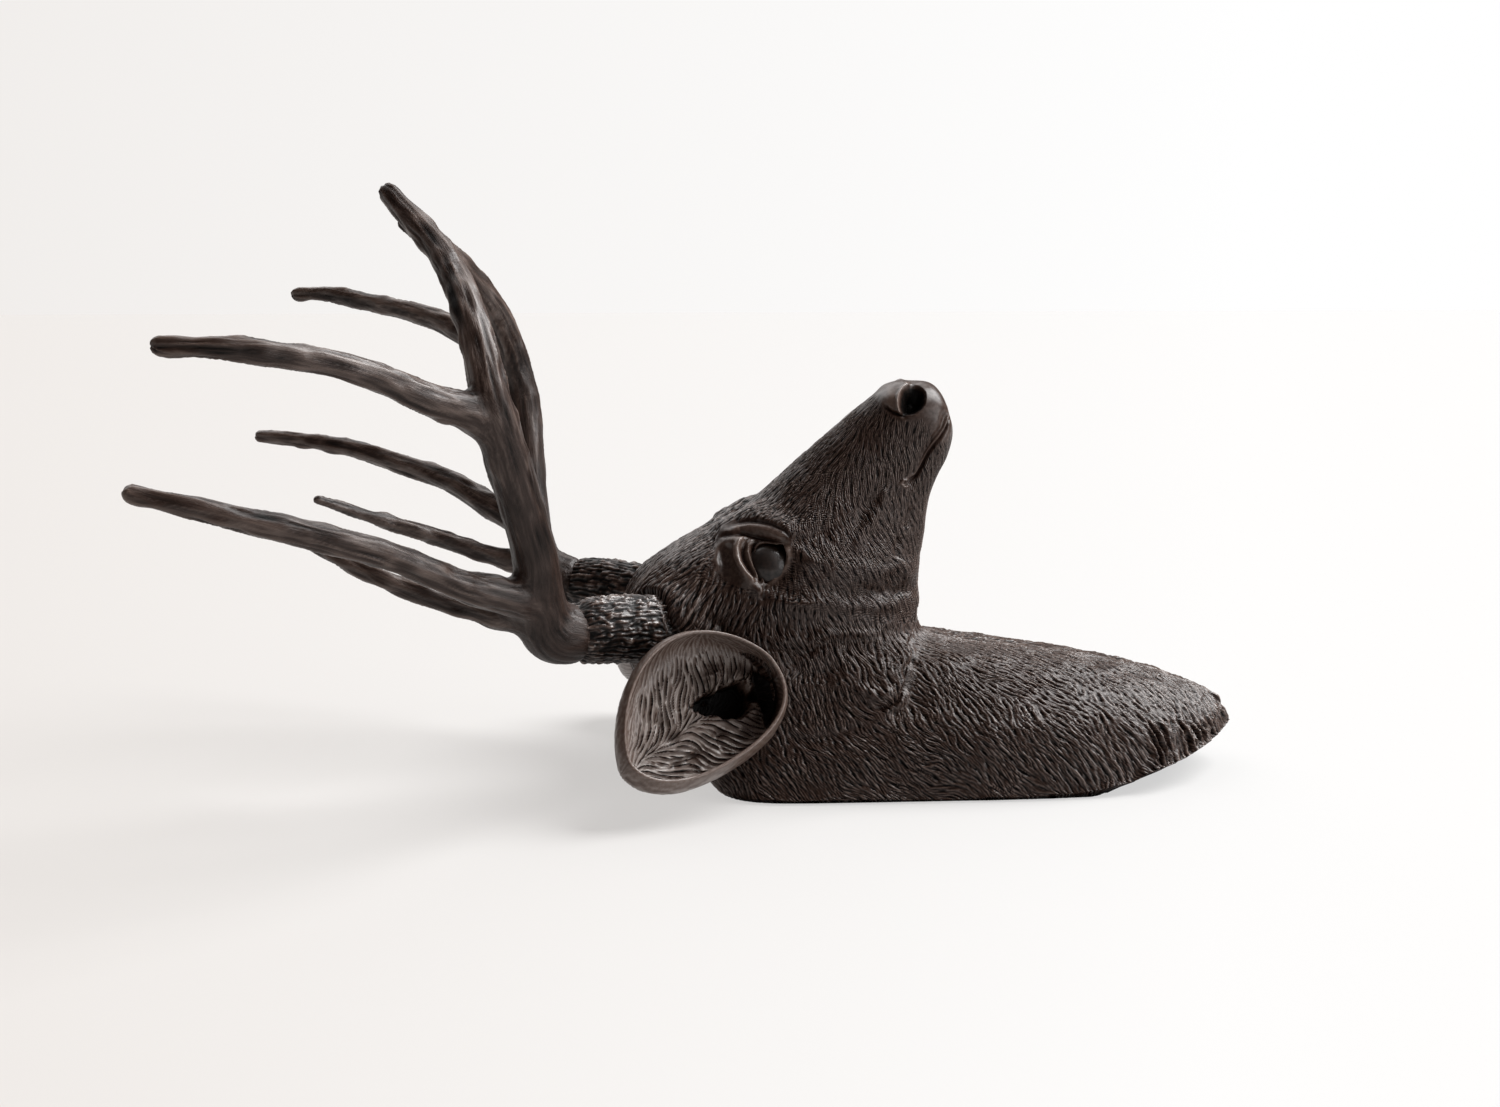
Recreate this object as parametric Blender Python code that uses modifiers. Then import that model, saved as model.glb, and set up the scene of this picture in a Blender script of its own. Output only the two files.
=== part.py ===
"""Faux deer head wall mount: a cast head and neck with both ears, and two antlers seated in it.

Metres. The flat back lies on z = 0 and +Z points out from the wall, +X down the wall, -Y to the deer's right.
The origin is on the flat back, midway between the crown end of the casting and the chest tip.
"""

import bmesh
import bpy
import numpy as np
from mathutils import Vector

# Driving dimensions
BODY_LENGTH = 0.277  # crown end of the flat back to the chest tip, along X
HEAD_REACH = 0.201  # flat back to the top of the nose, along Z
NECK_WIDTH = 0.158  # across the neck at the flat back
RIM_LIFT = 0.020  # chest tip above the wall plane
RIM_EDGE = 0.002  # thickness of the rim's edge where it lies by the wall
LOCK_RELIEF = 0.0014  # fur locks, from hollow to crest
ANTLER_RISE = 0.244  # socket floor to the highest tine tip, along X
ANTLER_FLARE = 0.147  # socket floor to the outer tine tip, along Y
ANTLER_REACH = 0.220  # socket floor to the beam tip, along Z
BURR_DIAMETER = 0.0350  # pearled base of an antler
BEAM_DIAMETER = 0.0224
TINE_DIAMETER = 0.0160
PEARL_RELIEF = 0.0011  # pearling on the antler bases
SOCKET_CLEARANCE = 0.0004  # gap round and under an antler base
SOCKET_LENGTH = 0.030  # length of the bore, past the collar of fur
EAR_LENGTH = 0.101
EAR_WIDTH = 0.072
EAR_DEPTH = 0.024
EAR_WALL = 0.0045
EYE_DIAMETER = 0.021
NOSTRIL_WIDTH = 0.0135

# Mesh fineness
BODY_ROWS = 52
BODY_SPANS = 24
EAR_ROWS = 6
EAR_SPANS = 20
BASE_ROWS = 15
BEAM_ROWS = 22
BEAM_SIDES = 14
TINE_ROWS = 10
TINE_SIDES = 9

# The drawing below is in millimetres at these sizes, and the driving dimensions stretch it
DRAWN_BODY = np.array([277.0, 158.0, 201.0])
DRAWN_ANTLER = np.array([244.0, 147.0, 220.0])
BODY_STRETCH = np.array([BODY_LENGTH, NECK_WIDTH, HEAD_REACH]) / DRAWN_BODY
ANTLER_STRETCH = np.array([ANTLER_RISE, ANTLER_FLARE, ANTLER_REACH]) / DRAWN_ANTLER

# Body stations from the nose to the rim of the back: the point on the bridge, crown or nape (x, z), the point
# on the lip, throat or chest (x, z), half width, share of the way down to the widest place, how square the
# section is above that place, and below it how square it is towards the throat and towards the side
STATIONS = [
    (-14, 187.5, -14, 187.5, 0, 0.50, 2.0, 2.0, 2.0),
    (-18, 195.5, -12.5, 181, 10, 0.50, 2.2, 2.2, 2.2),
    (-23, 200, -11.6, 175.5, 16, 0.50, 2.3, 2.3, 2.3),
    (-31, 201, -12.2, 169.5, 20, 0.50, 2.3, 2.2, 2.2),
    (-43, 200, -15, 161, 22.5, 0.50, 2.3, 2.2, 2.2),
    (-55.5, 191, -19.5, 151.5, 23.5, 0.52, 2.2, 2.3, 2.3),
    (-74, 176, -23.5, 139, 25.5, 0.52, 2.1, 2.4, 2.4),
    (-97, 155.5, -26, 121, 33, 0.50, 2.1, 2.2, 2.2),
    (-117, 137, -28.5, 103, 43, 0.45, 2.3, 2.1, 2.1),
    (-139, 128, -28, 89, 47, 0.42, 2.5, 2.1, 2.1),
    (-158, 113.5, -28, 78, 50, 0.43, 3.0, 2.1, 2.1),
    (-173, 98, -24, 70.5, 52, 0.45, 3.2, 2.1, 2.1),
    (-181, 79, -8, 66, 54, 0.47, 3.0, 2.0, 2.0),
    (-179, 59, 18, 63, 58, 0.46, 2.6, 2.0, 2.0),
    (-170, 40, 54, 58, 63, 0.42, 3.0, 2.0, 2.0),
    (-157, 22, 90, 50.5, 70, 0.36, 3.6, 2.4, 1.9),
    (-147, 10, 117, 41.5, 75, 0.30, 4.2, 3.6, 1.6),
    (-141, 4.5, 131.5, 32.5, 77.5, 0.28, 4.7, 4.6, 1.4),
    (-138.5, 2, 138.5, 21, 79, 0.27, 5.0, 5.0, 1.3),
]
RIM_STATION = len(STATIONS) - 1
SETTLING_STATIONS = 2.4  # over so many of the last stations the sides come down to the rim
LOCKS_BETWEEN = (8, 12)  # stations over which the locks grow to their full relief
NOSE_TIP = 1.5  # the station by which all relief has its full height
MUZZLE_STATIONS = (2, 8)  # rows lie closer together up to the first, and evenly from the second
MUZZLE_CLOSER = 0.9
EDGE_RISES_FROM = 50.0  # x where the rim starts to leave the wall
FLAT_BACK_SHARE = 0.32  # of what lies past that place, how much stays flat
BACK_INSET = (0.985, 0.97)  # size of the flat back against the rim, along X and Y

# Forms on the head: place (x, z), radii along x and z, and height, sunk where negative
SWELLINGS = {
    "eye socket": (-107.5, 114.5, 12, 13, -6.5),
    "temple hollow": (-131, 115, 7, 12, -3.5),
    "cheekbone": (-92, 98, 16, 12, 2.5),
    "cheek": (-70, 86, 30, 30, 4.0),
    "nostril wing": (-37, 190, 11, 12, 2.0),
    "antler collar": (-157, 86, 15, 15, 10.0),
    "ear root": (-116, 62, 16, 16, 4.0),
}
# Long forms: the points (x, z) that they follow, half breadth, and height
FOLDS = {
    "brow": ([(-130, 129), (-124, 134), (-113, 134), (-100, 128)], 6.5, 4.0),
    "lid fold": ([(-125, 123), (-124, 115), (-120, 107), (-114, 102)], 3.5, 2.5),
    "mouth": ([(-17, 184), (-18.5, 179), (-23.5, 173), (-27.5, 166), (-31, 158), (-35, 151.5)], 3.0, -2.2),
}
# The jaw stands proud of the neck along this edge
JAW_EDGE = [(-29, 82), (-34, 70), (-38.5, 58), (-42.5, 47), (-50, 42)]
JAW_STEP = 2.2
JAW_CREASE = 6.0  # breadth of the slope from the jaw down to the neck
JAW_REACH = 14.0  # the step fades out this far from the edge
JAW_HEIGHTS = (34, 48, 75, 115)  # heights between which the step starts, is full, and ends again
MIDDLE_BAND = 20.0  # the forms fade out this near to the middle plane

EYE_PLACE = np.array([-107.5, -33.5, 114.5])
NOSTRIL_PLACE = np.array([-34.5, -22.0, 193.0])
NOSTRIL_FORM = np.array([0.46, 0.5, 0.56])  # radii as shares of the nostril's width
EAR_ROOT = np.array([-107.0, -60.0, 65.5])
EAR_TIP = np.array([-182.0, -113.0, 23.5])
EAR_FACING = np.array([-0.06, -0.98, 0.17])
EAR_MIDDLE = 0.44  # share of the length at which the ear is widest
EAR_CURL = np.radians(118)  # how far round the wall runs, from the floor of the hollow to the rim
EAR_FLOOR_SHIFT = 0.12  # the floor lies this share of the length nearer the root
EAR_FORM = (1.12, 0.9)  # how pointed the outline is towards the tip, and how full towards the root
EAR_BOW = 0.06  # share of the length by which the ear bows towards the antler

# The antlers: beam points (x, y outwards, z), with the radius as shares of the base's and the beam's
SEAT = np.array([-154.0, 35.0, 79.5])
SEATED = [
    (-154, 35, 79.5, 1.0, 0.0),
    (-165, 40.8, 81, 1.0, 0.0),
    (-176, 46.5, 82.5, 1.0, 0.0),
    (-190.5, 55, 84, 0.97, 0.0),
]
BEAMS = {
    "right": [
        *SEATED,
        (-206, 63, 84, 0.42, 0.72),
        (-216.5, 69, 88, 0.0, 1.30),
        (-221, 75, 99, 0.0, 1.16),
        (-223, 86, 127, 0.0, 1.03),
        (-229, 97, 155, 0.0, 1.0),
        (-235.5, 109, 182, 0.0, 1.0),
        (-241, 113, 208, 0.0, 0.86),
        (-250, 97, 240, 0.0, 0.73),
        (-264, 66, 266, 0.0, 0.64),
        (-286, 39, 290, 0.0, 0.55),
        (-295, 33, 299.5, 0.0, 0.36),
    ],
    "left": [
        *SEATED,
        (-208, 61, 86, 0.42, 0.70),
        (-219, 64, 90.5, 0.0, 1.18),
        (-227, 70, 99, 0.0, 1.05),
        (-231, 81, 120, 0.0, 0.94),
        (-233, 96, 148, 0.0, 0.90),
        (-236, 111, 180, 0.0, 0.90),
        (-241, 111, 205, 0.0, 0.82),
        (-248, 95, 228, 0.0, 0.72),
        (-260, 67, 251, 0.0, 0.64),
        (-283, 39, 276, 0.0, 0.56),
        (-295, 31, 283, 0.0, 0.36),
    ],
}
# Tines: points (x, y outwards, z) with the radius as a share of the tine's
BROW_TINE = [
    (-208, 64, 86, 1.10),
    (-228, 74, 92, 0.96),
    (-252, 78, 99, 0.80),
    (-284, 78, 110, 0.66),
    (-314, 68, 122, 0.56),
    (-346, 51, 136, 0.30),
]
TINES = {
    "right": {
        "brow_tine": BROW_TINE,
        "second_tine": [
            (-219, 76, 108, 1.30),
            (-238, 93, 112, 1.12),
            (-258, 105, 117, 0.98),
            (-286, 122, 133, 0.88),
            (-318, 137, 145, 0.88),
            (-358, 148, 157, 0.76),
            (-398, 151, 168, 0.36),
        ],
        "third_tine": [
            (-235, 107, 184, 1.30),
            (-248, 118, 197, 1.20),
            (-268, 133, 206, 0.98),
            (-298, 153, 221, 0.82),
            (-336, 173, 230, 0.74),
            (-377, 182, 233, 0.36),
        ],
    },
    "left": {
        "brow_tine": BROW_TINE,
        "second_tine": [
            (-224, 74, 108, 1.24),
            (-240, 88, 117, 1.06),
            (-257.5, 98, 126, 0.94),
            (-277, 110, 136, 0.84),
            (-301, 122, 143, 0.80),
            (-341, 140, 153, 0.70),
            (-393, 150, 159, 0.34),
        ],
        "third_tine": [
            (-234, 110, 190, 1.24),
            (-249, 120, 207, 1.12),
            (-276, 140, 221, 0.92),
            (-301, 155, 229, 0.80),
            (-349, 175, 238, 0.66),
            (-374, 180, 238, 0.34),
        ],
    },
}
PEARLED = (1.35, 4.1)  # the stretch of the beam, counted in its points, that is pearled


def smooth(values, at):
    """Rows of values, one for each whole number, read at any place between them along a smooth cubic."""
    values = np.asarray(values, float)
    at = np.clip(np.asarray(at, float), 0, len(values) - 1)
    low = np.minimum(at.astype(int), len(values) - 2)
    part = (at - low)[..., None]
    slope = np.gradient(values, axis=0)
    square, cube = part**2, part**3
    start = values[low] * (2 * cube - 3 * square + 1) + slope[low] * (cube - 2 * square + part)
    return start + values[low + 1] * (3 * square - 2 * cube) + slope[low + 1] * (cube - square)


def ramp(low, high, value):
    """0 below low, 1 above high, and an even curve between them."""
    share = np.clip((value - low) / (high - low), 0, 1)
    return share * share * (3 - 2 * share)


def rim_height(x):
    """Height of the rim over the wall plane, in the drawing's millimetres."""
    run = np.clip((x - EDGE_RISES_FROM) / (DRAWN_BODY[0] / 2 - EDGE_RISES_FROM), 0, 1)
    return (RIM_EDGE + (RIM_LIFT - RIM_EDGE) * run**1.3) / BODY_STRETCH[2]


def bare_body(station, turn):
    """Head and neck without relief, in the drawing's millimetres: turn 0 is the crown, pi the throat."""
    row = smooth(STATIONS, station)
    cosine, sine = np.cos(turn), np.sin(turn)
    above = cosine > 0
    along = np.abs(cosine) ** (2 / np.where(above, row[..., 6], row[..., 7]))
    side = np.abs(sine) ** (2 / np.where(above, row[..., 6], row[..., 8]))
    top, under = row[..., 0:2], row[..., 2:4]
    widest = top + (under - top) * row[..., 5:6]
    end = np.where(above[..., None], top, under)
    place = widest + (end - widest) * along[..., None]
    settled = ramp(RIM_STATION - SETTLING_STATIONS, RIM_STATION, station) * (1 - along**4)
    height = place[..., 1] * (1 - settled) + rim_height(place[..., 0]) * settled
    return np.stack([place[..., 0], -row[..., 4] * side, height], axis=-1)


def distance_to_line(x, z, points):
    """Distance in the side view to the line through the points."""
    best = np.full(np.shape(x), np.inf)
    for (ax, az), (bx, bz) in zip(points[:-1], points[1:]):
        run = ((x - ax) * (bx - ax) + (z - az) * (bz - az)) / ((bx - ax) ** 2 + (bz - az) ** 2)
        run = np.clip(run, 0, 1)
        best = np.minimum(best, np.hypot(x - ax - run * (bx - ax), z - az - run * (bz - az)))
    return best


def relief(place):
    """Height of the head's forms over the bare body, in the drawing's millimetres."""
    x, y, z = np.moveaxis(place, -1, 0)
    height = np.zeros(x.shape)
    for at_x, at_z, radius_x, radius_z, rise in SWELLINGS.values():
        height += rise * np.exp(-(((x - at_x) / radius_x) ** 2) - ((z - at_z) / radius_z) ** 2)
    for points, breadth, rise in FOLDS.values():
        height += rise * np.exp(-((distance_to_line(x, z, points) / breadth) ** 2))
    edge = np.exp(-((distance_to_line(x, z, JAW_EDGE) / JAW_REACH) ** 2))
    rising = np.array(JAW_EDGE[::-1])
    edge_x = np.interp(z, rising[:, 1], rising[:, 0])
    edge *= ramp(JAW_HEIGHTS[0], JAW_HEIGHTS[1], z) * ramp(JAW_HEIGHTS[3], JAW_HEIGHTS[2], z)
    height += JAW_STEP * edge * (1 - 2 * ramp(-JAW_CREASE / 2, JAW_CREASE / 2, x - edge_x))
    return height * ramp(0, MIDDLE_BAND, np.abs(y))


def body_points(station, turn):
    """Head and neck with their forms and fur locks, in metres."""
    near = 1e-3
    place = bare_body(station, turn)
    along = bare_body(station + near, turn) - bare_body(station - near, turn)
    around = bare_body(station, turn + near) - bare_body(station, turn - near)
    normal = np.cross(along, around)
    normal /= np.linalg.norm(normal, axis=-1)[..., None] + 1e-12
    middle = np.abs(np.sin(turn)) < 1e-9
    normal[..., 1] = np.where(middle, 0, normal[..., 1])
    rows, spans = np.indices(station.shape)
    lock = np.where((rows + spans) % 2 == 0, 0.5, -0.5) * ramp(*LOCKS_BETWEEN, station)
    height = (relief(place) + lock * LOCK_RELIEF / BODY_STRETCH[2]) * ramp(0.0, NOSE_TIP, station)
    place = place + normal * height[..., None]
    place[..., 1] = np.where(middle, 0, place[..., 1])
    place[..., 2] = np.maximum(place[..., 2], RIM_EDGE / BODY_STRETCH[2])
    return place * BODY_STRETCH


def even_stations(count):
    """Stations spread evenly over the body, and closer together on the muzzle."""
    fine = np.linspace(0, RIM_STATION, 10 * count)
    lines = bare_body(fine[:, None] * np.ones(3), np.ones((len(fine), 1)) * np.array([0, np.pi / 2, np.pi]))
    steps = np.linalg.norm(np.diff(lines, axis=0), axis=-1).mean(axis=1)
    steps *= 1 + MUZZLE_CLOSER * ramp(MUZZLE_STATIONS[1], MUZZLE_STATIONS[0], fine[1:])
    run = np.concatenate([[0], np.cumsum(steps)])
    return np.interp(np.linspace(0, run[-1], count), run, fine)


def material(name, colour, roughness):
    made = bpy.data.materials.new(name)
    made.use_nodes = True
    shader = made.node_tree.nodes["Principled BSDF"]
    shader.inputs["Base Color"].default_value = (*colour, 1.0)
    shader.inputs["Roughness"].default_value = roughness
    shader.inputs["Metallic"].default_value = 0.0
    return made


def collection(name):
    made = bpy.data.collections.new(name)
    bpy.context.scene.collection.children.link(made)
    return made


def add_object(name, mesh, into, finish=None):
    made = bpy.data.objects.new(name, mesh)
    into.objects.link(made)
    if finish:
        mesh.materials.append(finish)
    mesh.shade_smooth()
    return made


def add_cutter(name, mesh, into):
    made = add_object(name, mesh, into)
    made.hide_render = True
    made.display_type = "WIRE"
    return made


def mirrored(target):
    """Adds the deer's other side to an object made for its right side."""
    mirror = target.modifiers.new("other_side", "MIRROR")
    mirror.use_axis = (False, True, False)
    mirror.use_clip = False
    mirror.merge_threshold = 0.0001
    return target


def combine(target, tool, operation):
    boolean = target.modifiers.new(tool.name, "BOOLEAN")
    boolean.object = tool
    boolean.operation = operation
    boolean.solver = "EXACT"


def ring_mesh(name, rings, start="cap", end="cap"):
    """A closed mesh through rings of points; an end is a flat cap or, for a pole, its one point."""
    shape = bmesh.new()
    made = [[shape.verts.new(point) for point in ring] for ring in rings]
    count = len(made[0])
    for low, high in zip(made[:-1], made[1:]):
        for index in range(count):
            after = (index + 1) % count
            shape.faces.new((low[index], low[after], high[after], high[index]))
    for ring, closing in ((made[0], start), (made[-1], end)):
        if isinstance(closing, str):
            shape.faces.new(ring)
        else:
            pole = shape.verts.new(closing)
            for index in range(count):
                shape.faces.new((ring[index], ring[(index + 1) % count], pole))
    bmesh.ops.recalc_face_normals(shape, faces=shape.faces)
    mesh = bpy.data.meshes.new(name)
    shape.to_mesh(mesh)
    shape.free()
    return mesh


def body_mesh():
    """The right half of head and neck, open at the middle plane, with its flat back."""
    stations = even_stations(BODY_ROWS)[1:]
    turns = np.linspace(0, np.pi, BODY_SPANS + 1)
    grid = body_points(stations[:, None] * np.ones(len(turns)), np.ones((len(stations), 1)) * turns)
    rim = grid[-1]
    back = rim.copy()
    start = EDGE_RISES_FROM * BODY_STRETCH[0]
    lifted = start + (rim[:, 0] - start) * FLAT_BACK_SHARE
    back[:, 0] = np.where(rim[:, 0] > start, lifted, rim[:, 0] * BACK_INSET[0])
    back[:, 1] *= BACK_INSET[1]
    back[:, 2] = 0.0
    shape = bmesh.new()
    rows = [[shape.verts.new(point) for point in ring] for ring in [*grid, back]]
    nose = shape.verts.new(bare_body(np.zeros(1), np.zeros(1))[0] * BODY_STRETCH)
    for low, high in zip(rows[:-1], rows[1:]):
        for index in range(BODY_SPANS):
            shape.faces.new((low[index], high[index], high[index + 1], low[index + 1]))
    for index in range(BODY_SPANS):
        shape.faces.new((nose, rows[0][index], rows[0][index + 1]))
    shape.faces.new(rows[-1])
    bmesh.ops.recalc_face_normals(shape, faces=shape.faces)
    mesh = bpy.data.meshes.new("head_and_neck")
    shape.to_mesh(mesh)
    shape.free()
    return mesh


def ear_axes():
    length = (EAR_TIP - EAR_ROOT) / np.linalg.norm(EAR_TIP - EAR_ROOT)
    facing = EAR_FACING - length * (EAR_FACING @ length)
    facing /= np.linalg.norm(facing)
    return EAR_ROOT * BODY_STRETCH, length, facing, np.cross(facing, length)


def ear_rings(inset, past_rim):
    """Rings from the floor of the ear's bowl to its rim, moved in by the inset, and the floor's point."""
    root, length, facing, across = ear_axes()
    turn = np.arange(EAR_SPANS) * 2 * np.pi / EAR_SPANS
    towards_tip = np.cos(turn)
    end = np.where(towards_tip > 0, 1 - EAR_MIDDLE, EAR_MIDDLE) * EAR_LENGTH - inset
    out = np.sign(np.sin(turn)) * np.abs(np.sin(turn)) ** np.where(towards_tip > 0, *EAR_FORM)
    wide = EAR_WIDTH / 2 - inset
    depth = EAR_DEPTH - inset

    def place(angle, lift=0.0):
        along = EAR_MIDDLE * EAR_LENGTH + end * towards_tip * np.sin(angle)
        along = along - EAR_FLOOR_SHIFT * EAR_LENGTH * max(np.cos(angle), 0)
        sideways = wide * out * np.sin(angle) - EAR_BOW * EAR_LENGTH * np.sin(np.pi * along / EAR_LENGTH)
        forward = lift - depth * np.cos(angle)
        return root + along[:, None] * length + sideways[:, None] * across + forward * facing

    rings = [place(angle) for angle in np.linspace(0, EAR_CURL, EAR_ROWS + 1)[1:]]
    if past_rim:
        rings.append(place(EAR_CURL, past_rim))
    return rings, place(0.0)[0]


def tube_rings(points, radii, sides, roughness=None):
    """Rings round a line of points, with the frame carried along it so that nothing twists."""
    tangent = np.gradient(points, axis=0)
    tangent /= np.linalg.norm(tangent, axis=1)[:, None]
    across = np.cross(tangent[0], (0.0, 0.0, 1.0))
    angle = np.arange(sides) * 2 * np.pi / sides
    rings = []
    for index, (point, ahead) in enumerate(zip(points, tangent)):
        across = across - ahead * (across @ ahead)
        across /= np.linalg.norm(across)
        other = np.cross(ahead, across)
        radius = np.full(sides, radii[index])
        if roughness is not None:
            radius += roughness[index] * np.where((index + np.arange(sides)) % 2 == 0, 0.5, -0.5)
        round_it = np.cos(angle)[:, None] * across + np.sin(angle)[:, None] * other
        rings.append(point + radius[:, None] * round_it)
    return rings


def antler_place(points, side):
    """Antler points of the drawing in metres, on the deer's right (-1) or left (+1)."""
    seat = SEAT * BODY_STRETCH
    placed = seat + (np.asarray(points, float) - SEAT) * ANTLER_STRETCH
    placed[..., 1] *= side
    return placed


def antler(name, side, into, cutters, finish):
    """Beam with its pearled base, joined with its tines."""
    hand = "left" if side > 0 else "right"
    base_rows = np.linspace(0, PEARLED[1], BASE_ROWS)
    beam_rows = np.linspace(PEARLED[1], len(BEAMS[hand]) - 1, BEAM_ROWS)[1:]
    at = np.concatenate([base_rows, beam_rows])
    rows = smooth(BEAMS[hand], at)
    points = antler_place(rows[:, :3], side)
    radii = rows[:, 3] * BURR_DIAMETER / 2 + rows[:, 4] * BEAM_DIAMETER / 2
    pearl = np.where((at > PEARLED[0]) & (at < PEARLED[1]), PEARL_RELIEF, 0)
    beam = add_object(name, ring_mesh(name, tube_rings(points, radii, BEAM_SIDES, pearl)), into, finish)
    for tine, rows in TINES[hand].items():
        rows = smooth(rows, np.linspace(0, len(rows) - 1, TINE_ROWS))
        points = antler_place(rows[:, :3], side)
        tool_name = f"{name}_{tine}"
        rings = tube_rings(points, rows[:, 3] * TINE_DIAMETER / 2, TINE_SIDES)
        tool = add_cutter(tool_name, ring_mesh(tool_name, rings), cutters)
        combine(beam, tool, "UNION")
    return beam


def socket_mesh():
    """The bore for the right antler's base, with the clearance round and under it."""
    start, ahead = antler_place([row[:3] for row in SEATED[:2]], -1)
    axis = (ahead - start) / np.linalg.norm(ahead - start)
    line = np.array([start - axis * SOCKET_CLEARANCE, start + axis * SOCKET_LENGTH])
    radius = BURR_DIAMETER / 2 / np.cos(np.pi / BEAM_SIDES) + SOCKET_CLEARANCE
    return ring_mesh("socket", tube_rings(line, [radius, radius], BEAM_SIDES))


def ball_mesh(name, place, radii, segments, rings):
    shape = bmesh.new()
    bmesh.ops.create_uvsphere(shape, u_segments=segments, v_segments=rings, radius=1.0)
    bmesh.ops.scale(shape, vec=Vector(radii.tolist()), verts=shape.verts)
    bmesh.ops.translate(shape, vec=Vector(place.tolist()), verts=shape.verts)
    mesh = bpy.data.meshes.new(name)
    shape.to_mesh(mesh)
    shape.free()
    return mesh


for old in list(bpy.data.objects):
    bpy.data.objects.remove(old, do_unlink=True)

parts = collection("deer_head_wall_mount")
cutters = collection("cutters")
casting = material("black_resin", (0.030, 0.026, 0.025), 0.5)
antler_casting = material("black_antler_resin", (0.030, 0.027, 0.026), 0.42)

# Head, neck and ears, one casting
head = mirrored(add_object("head_and_neck", body_mesh(), parts, casting))

ear_form, ear_floor = ear_rings(0.0, 0.0)
ears = mirrored(add_cutter("ear_forms", ring_mesh("ear_forms", ear_form, start=ear_floor), cutters))
combine(head, ears, "UNION")

hollow_form, hollow_floor = ear_rings(EAR_WALL, EAR_WALL)
hollow_shape = ring_mesh("ear_hollows", hollow_form, start=hollow_floor)
hollows = mirrored(add_cutter("ear_hollows", hollow_shape, cutters))
combine(head, hollows, "DIFFERENCE")

eye = ball_mesh("eyeballs", EYE_PLACE * BODY_STRETCH, np.full(3, EYE_DIAMETER / 2), 14, 9)
combine(head, mirrored(add_cutter("eyeballs", eye, cutters)), "UNION")

nostril = ball_mesh("nostrils", NOSTRIL_PLACE * BODY_STRETCH, NOSTRIL_WIDTH * NOSTRIL_FORM, 12, 8)
combine(head, mirrored(add_cutter("nostrils", nostril, cutters)), "DIFFERENCE")

sockets = mirrored(add_cutter("sockets", socket_mesh(), cutters))
combine(head, sockets, "DIFFERENCE")

# Antlers, seated in the head
antler("antler_right", -1, parts, cutters, antler_casting)
antler("antler_left", 1, parts, cutters, antler_casting)
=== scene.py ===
"""Faux deer head wall mount, dressed: the cast head and neck with its fur, the ears, eyes and antlers."""

import bpy
import numpy as np
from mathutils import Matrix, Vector


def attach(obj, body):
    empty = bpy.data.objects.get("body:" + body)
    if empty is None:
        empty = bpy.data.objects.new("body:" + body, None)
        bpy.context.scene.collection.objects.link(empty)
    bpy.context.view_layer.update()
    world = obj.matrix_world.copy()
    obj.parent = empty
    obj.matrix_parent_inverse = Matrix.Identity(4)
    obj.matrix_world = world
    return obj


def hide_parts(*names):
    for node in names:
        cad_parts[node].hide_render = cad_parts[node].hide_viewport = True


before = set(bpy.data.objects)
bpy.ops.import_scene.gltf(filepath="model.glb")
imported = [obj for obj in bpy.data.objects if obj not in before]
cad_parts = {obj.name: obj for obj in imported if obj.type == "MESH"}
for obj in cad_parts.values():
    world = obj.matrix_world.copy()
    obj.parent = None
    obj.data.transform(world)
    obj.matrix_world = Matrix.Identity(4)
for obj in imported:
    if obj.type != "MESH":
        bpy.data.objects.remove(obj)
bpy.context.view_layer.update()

# The setting: a white studio table that runs on to a white wall, and no part of the casting.
# The camera stands to the deer's right, a little above the table, as the photograph was taken.
CAMERA_AT = (-0.1818, -1.0618, 0.2921)
CAMERA_TARGET = (-0.1155, 0.0, 0.112)
LENS, SENSOR_WIDTH, SIGHT_END = 50.0, 36.0, 50.0
TABLE_SIZE = 9.0
TABLE_DROP = 0.0003
TABLE_WHITE = (0.19, 0.188, 0.185, 1.0)
TABLE_ROUGHNESS = 0.9
TABLE_LIT = 0.40  # brightness that the lamps give the table; the rest is its own, as on a lit sweep
LEFT_WHITE, RIGHT_WHITE = (0.87, 0.842, 0.82, 1.0), (1.0, 1.0, 1.0, 1.0)
WHITE_ENDS = (-0.34, 0.30)  # how far sideways for one step ahead of the camera those two whites are
# Brightness and colour of the surroundings as they light the casting
FILL, FILL_COLOUR = 0.12, (1.0, 0.74, 0.64, 1.0)
# Soft light as from large panels: the way to each, its strength, and how wide it looks in degrees
PANELS = {
    "key_light": ((0.70, 0.25, 0.85), 6.5, 45),
    "side_light": ((1.0, -0.45, 0.2), 1.7, 40),
    "back_light": ((-0.3, 0.9, 0.8), 1.6, 60),
    "front_light": ((-0.5, -1.0, 0.9), 0.02, 80),
}


def add_material(name):
    """A new material and its node tree."""
    made = bpy.data.materials.new(name)
    made.use_nodes = True
    return made, made.node_tree


def feed(tree, node, inputs):
    """The node, with its inputs linked where a socket is given and set where a plain value is."""
    for key, value in inputs.items():
        if isinstance(value, bpy.types.NodeSocket):
            tree.links.new(value, node.inputs[key])
        else:
            node.inputs[key].default_value = value
    return node


def add_node(tree, kind, inputs):
    """A new shader node of that kind with its inputs fed."""
    return feed(tree, tree.nodes.new(f"ShaderNode{kind}"), inputs)


def add_math(tree, operation, *values):
    """The result of a new math node on sockets and plain numbers."""
    node = tree.nodes.new("ShaderNodeMath")
    node.operation = operation
    return feed(tree, node, dict(enumerate(values))).outputs[0]


def add_mix(tree, first, second, factor, blend="MIX"):
    """The result of a new node that mixes two colours."""
    node = tree.nodes.new("ShaderNodeMix")
    node.data_type = "RGBA"
    node.blend_type = blend
    return feed(tree, node, {"A": first, "B": second, "Factor": factor}).outputs["Result"]


def point_at(piece, place, target):
    """Puts a camera or light at its place, looking at the target."""
    piece.location = place
    piece.rotation_euler = (Vector(target) - Vector(place)).to_track_quat("-Z", "Y").to_euler()


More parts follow.
